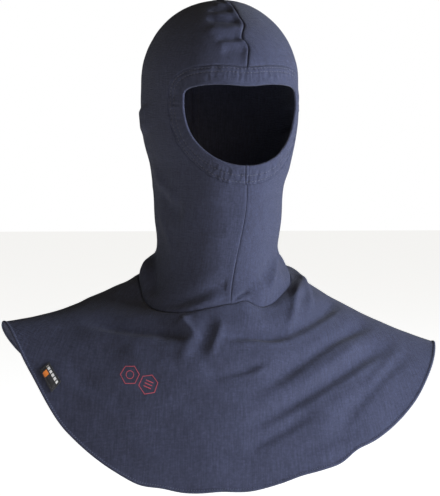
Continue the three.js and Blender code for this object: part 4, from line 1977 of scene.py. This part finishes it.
@dataclass
class PrintedMarks:
    """Two plain marks printed in red on the chest: a hexagon round a ring, and one round three bars."""

    patch: BibPatch
    radius: float = 10.8
    line: float = 0.72
    spread: float = 22.5
    height: float = 0.22
    wall: float = 0.176
    ring_share: float = 0.42
    bar_share: float = 0.8
    bar_weight: float = 1.3
    bar_gap: float = 3.2
    bar_cells: int = 8
    hexagon_sides: int = 6
    ring_sides: int = 36

    def outline(self, bm: Mesh, sides: int, radius: float, centre: float) -> None:
        """Add the flat closed line of a regular shape, cut fine enough to follow the cloth.

        Args:
            bm: The mesh that takes it.
            sides: How many sides the shape has.
            radius: Its radius to the corners.
            centre: Where its middle lies across.
        """
        place = Matrix.Translation((centre, 0, 0))
        made = bmesh.ops.create_circle(bm, cap_ends=True, segments=sides, radius=radius, matrix=place)
        middle = made["verts"][0].link_faces[0]
        rim = bmesh.ops.inset_region(bm, faces=[middle], thickness=self.line, use_boundary=True,
                                     use_even_offset=True)["faces"]
        bmesh.ops.delete(bm, geom=[middle], context="FACES_KEEP_BOUNDARY")
        edges = [edge for face in rim for edge in face.edges if edge.is_boundary]
        cuts = max(1, self.ring_sides // sides)
        bmesh.ops.subdivide_edges(bm, edges=edges, cuts=cuts, use_grid_fill=True)

    def bar(self, bm: Mesh, centre: float, y: float) -> None:
        """Add a flat short bar.

        Args:
            bm: The mesh that takes it.
            centre: Where its middle lies across.
            y: Where its middle lies upwards.
        """
        size = Matrix.Diagonal((self.radius * self.bar_share, self.line * self.bar_weight, 1, 1))
        place = Matrix.Translation((centre, y, 0)) @ size
        bmesh.ops.create_grid(bm, x_segments=self.bar_cells, y_segments=1, size=0.5, matrix=place)

    def build(self) -> Piece:
        """Make both marks as one thin printed piece.

        Returns:
            The marks.
        """
        left, right = -self.spread / 2, self.spread / 2
        bm = bmesh.new()
        for centre in (left, right):
            self.outline(bm, self.hexagon_sides, self.radius, centre)
        self.outline(bm, self.ring_sides, self.radius * self.ring_share, left)
        for y in (-self.bar_gap, 0.0, self.bar_gap):
            self.bar(bm, right, y)
        flat = np.array([vert.co[:2] for vert in bm.verts])
        for vert, point in zip(bm.verts, self.patch.on_cloth(flat, self.height)):
            vert.co = point * MM
        return thicken(to_object(bm, "printed_marks", RED_TRANSFER), self.wall)

    def dress(self, marks: Piece) -> None:
        """Set the marks on the body."""
        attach(marks, BODY)


@dataclass(frozen=True)
class Lamp:
    """A square soft light: its place and side in metres, its power and its colour."""

    name: str
    place: tuple[float, float, float]
    side: float
    power: float
    colour: Colour


@dataclass
class Studio:
    """The floor, the soft lights and the camera, in metres."""

    azimuth: float = -4.0
    elevation: float = 3.0
    distance: float = 2.4
    aim: Vector = field(default_factory=lambda: Vector((0.0005, 0.0, -0.265)))
    view_height: float = 0.5357
    sensor: float = 36.0
    floor_gap: float = 0.05
    floor_size: float = 14.0
    floor_cells: int = 8
    surround: Colour = (0.115, 0.107, 0.086)

    KEY = Lamp("key", (1.98, -0.98, -0.12), 0.9, 113.0, (0.86, 0.94, 1.08))
    FILL = Lamp("fill", (0.9, -2.7, 0.0), 1.6, 24.0, (1.0, 0.85, 0.62))

    def build(self) -> None:
        """Make the floor, the lights, the backdrop's light and the camera."""
        self.floor()
        for lamp in (self.KEY, self.FILL):
            self.light(lamp)
        self.world()
        self.camera()

    def floor(self) -> None:
        """Lay the pale floor just below the hem."""
        bm = bmesh.new()
        cells, place = self.floor_cells, Matrix.Translation((0, 0, CAD_BOX[0].z - self.floor_gap))
        bmesh.ops.create_grid(bm, x_segments=cells, y_segments=cells, size=self.floor_size / 2, matrix=place)
        to_object(bm, "studio_floor", STUDIO_FLOOR)

    def put_up(self, data: bpy.types.ID, place: Vector) -> Piece:
        """Set up a light or a camera that faces the balaclava.

        Args:
            data: The light or the camera.
            place: Where it stands.

        Returns:
            Its object.
        """
        item = bpy.data.objects.new(data.name, data)
        item.location = place
        item.rotation_mode = "QUATERNION"
        item.rotation_quaternion = (self.aim - place).to_track_quat("-Z", "Y")
        bpy.context.scene.collection.objects.link(item)
        return item

    def light(self, lamp: Lamp) -> None:
        """Hang a soft light.

        Args:
            lamp: The light.
        """
        area = bpy.data.lights.new(lamp.name, "AREA")
        area.shape, area.size, area.energy, area.color = "SQUARE", lamp.side, lamp.power, lamp.colour
        self.put_up(area, Vector(lamp.place))

    def world(self) -> None:
        """Set a surround that is seen white and lights dimly."""
        world = bpy.data.worlds.new("studio")
        world.use_nodes = True
        nodes = Nodes(world.node_tree)
        seen = nodes.mix(nodes.add("LightPath").outputs["Is Camera Ray"], self.surround, WHITE)
        nodes.put(seen, world.node_tree.nodes["Background"].inputs["Color"])
        bpy.context.scene.world = world
        bpy.context.scene.view_settings.view_transform = "Standard"

    def camera(self) -> None:
        """Set the camera at the photograph's angle."""
        lens = bpy.data.cameras.new("camera")
        lens.sensor_width = self.sensor
        lens.lens = self.sensor * self.distance / self.view_height
        a, e = math.radians(self.azimuth), math.radians(self.elevation)
        back = Vector((math.sin(a) * math.cos(e), -math.cos(a) * math.cos(e), math.sin(e)))
        bpy.context.scene.camera = self.put_up(lens, self.aim + back * self.distance)


def report(piece: Piece) -> None:
    """Log a piece's name and size."""
    log.info("%s: %d faces", piece.name, len(piece.data.polygons))


def main() -> None:
    """Build and dress every piece of the balaclava, then the studio."""
    logging.basicConfig(level=logging.INFO, format="%(name)s: %(message)s")
    hood_form = HoodForm()
    bib_form = BibForm(hood_form)
    face = FaceOutline(hood_form)
    band = FaceBand(hood_form, face)
    hood = Hood(hood_form, face, band.width)
    bib = Bib(bib_form)
    label = SideLabel(BibPatch(bib_form, turn=-56.0, place=0.91))
    marks = PrintedMarks(BibPatch(bib_form, turn=-33.0, place=0.582, tilt=1.0))
    inside = Allowance(hood_form)

    halves = hood.build()
    ring, rows = band.build(), band.sew()
    cape, overlock = bib.build(), bib.sew()
    patch, border = label.build(), label.sew()
    printed = marks.build()
    edges = [inside.build(kind) for kind in Seam]
    hood.dress(halves)
    band.dress(ring, rows)
    bib.dress(cape, overlock)
    label.dress(patch, border)
    marks.dress(printed)
    inside.dress(edges)
    for piece in (*halves.values(), ring, rows, cape, overlock, patch, border, printed, *edges):
        report(piece)
    Studio().build()


if __name__ == "__main__":
    main()
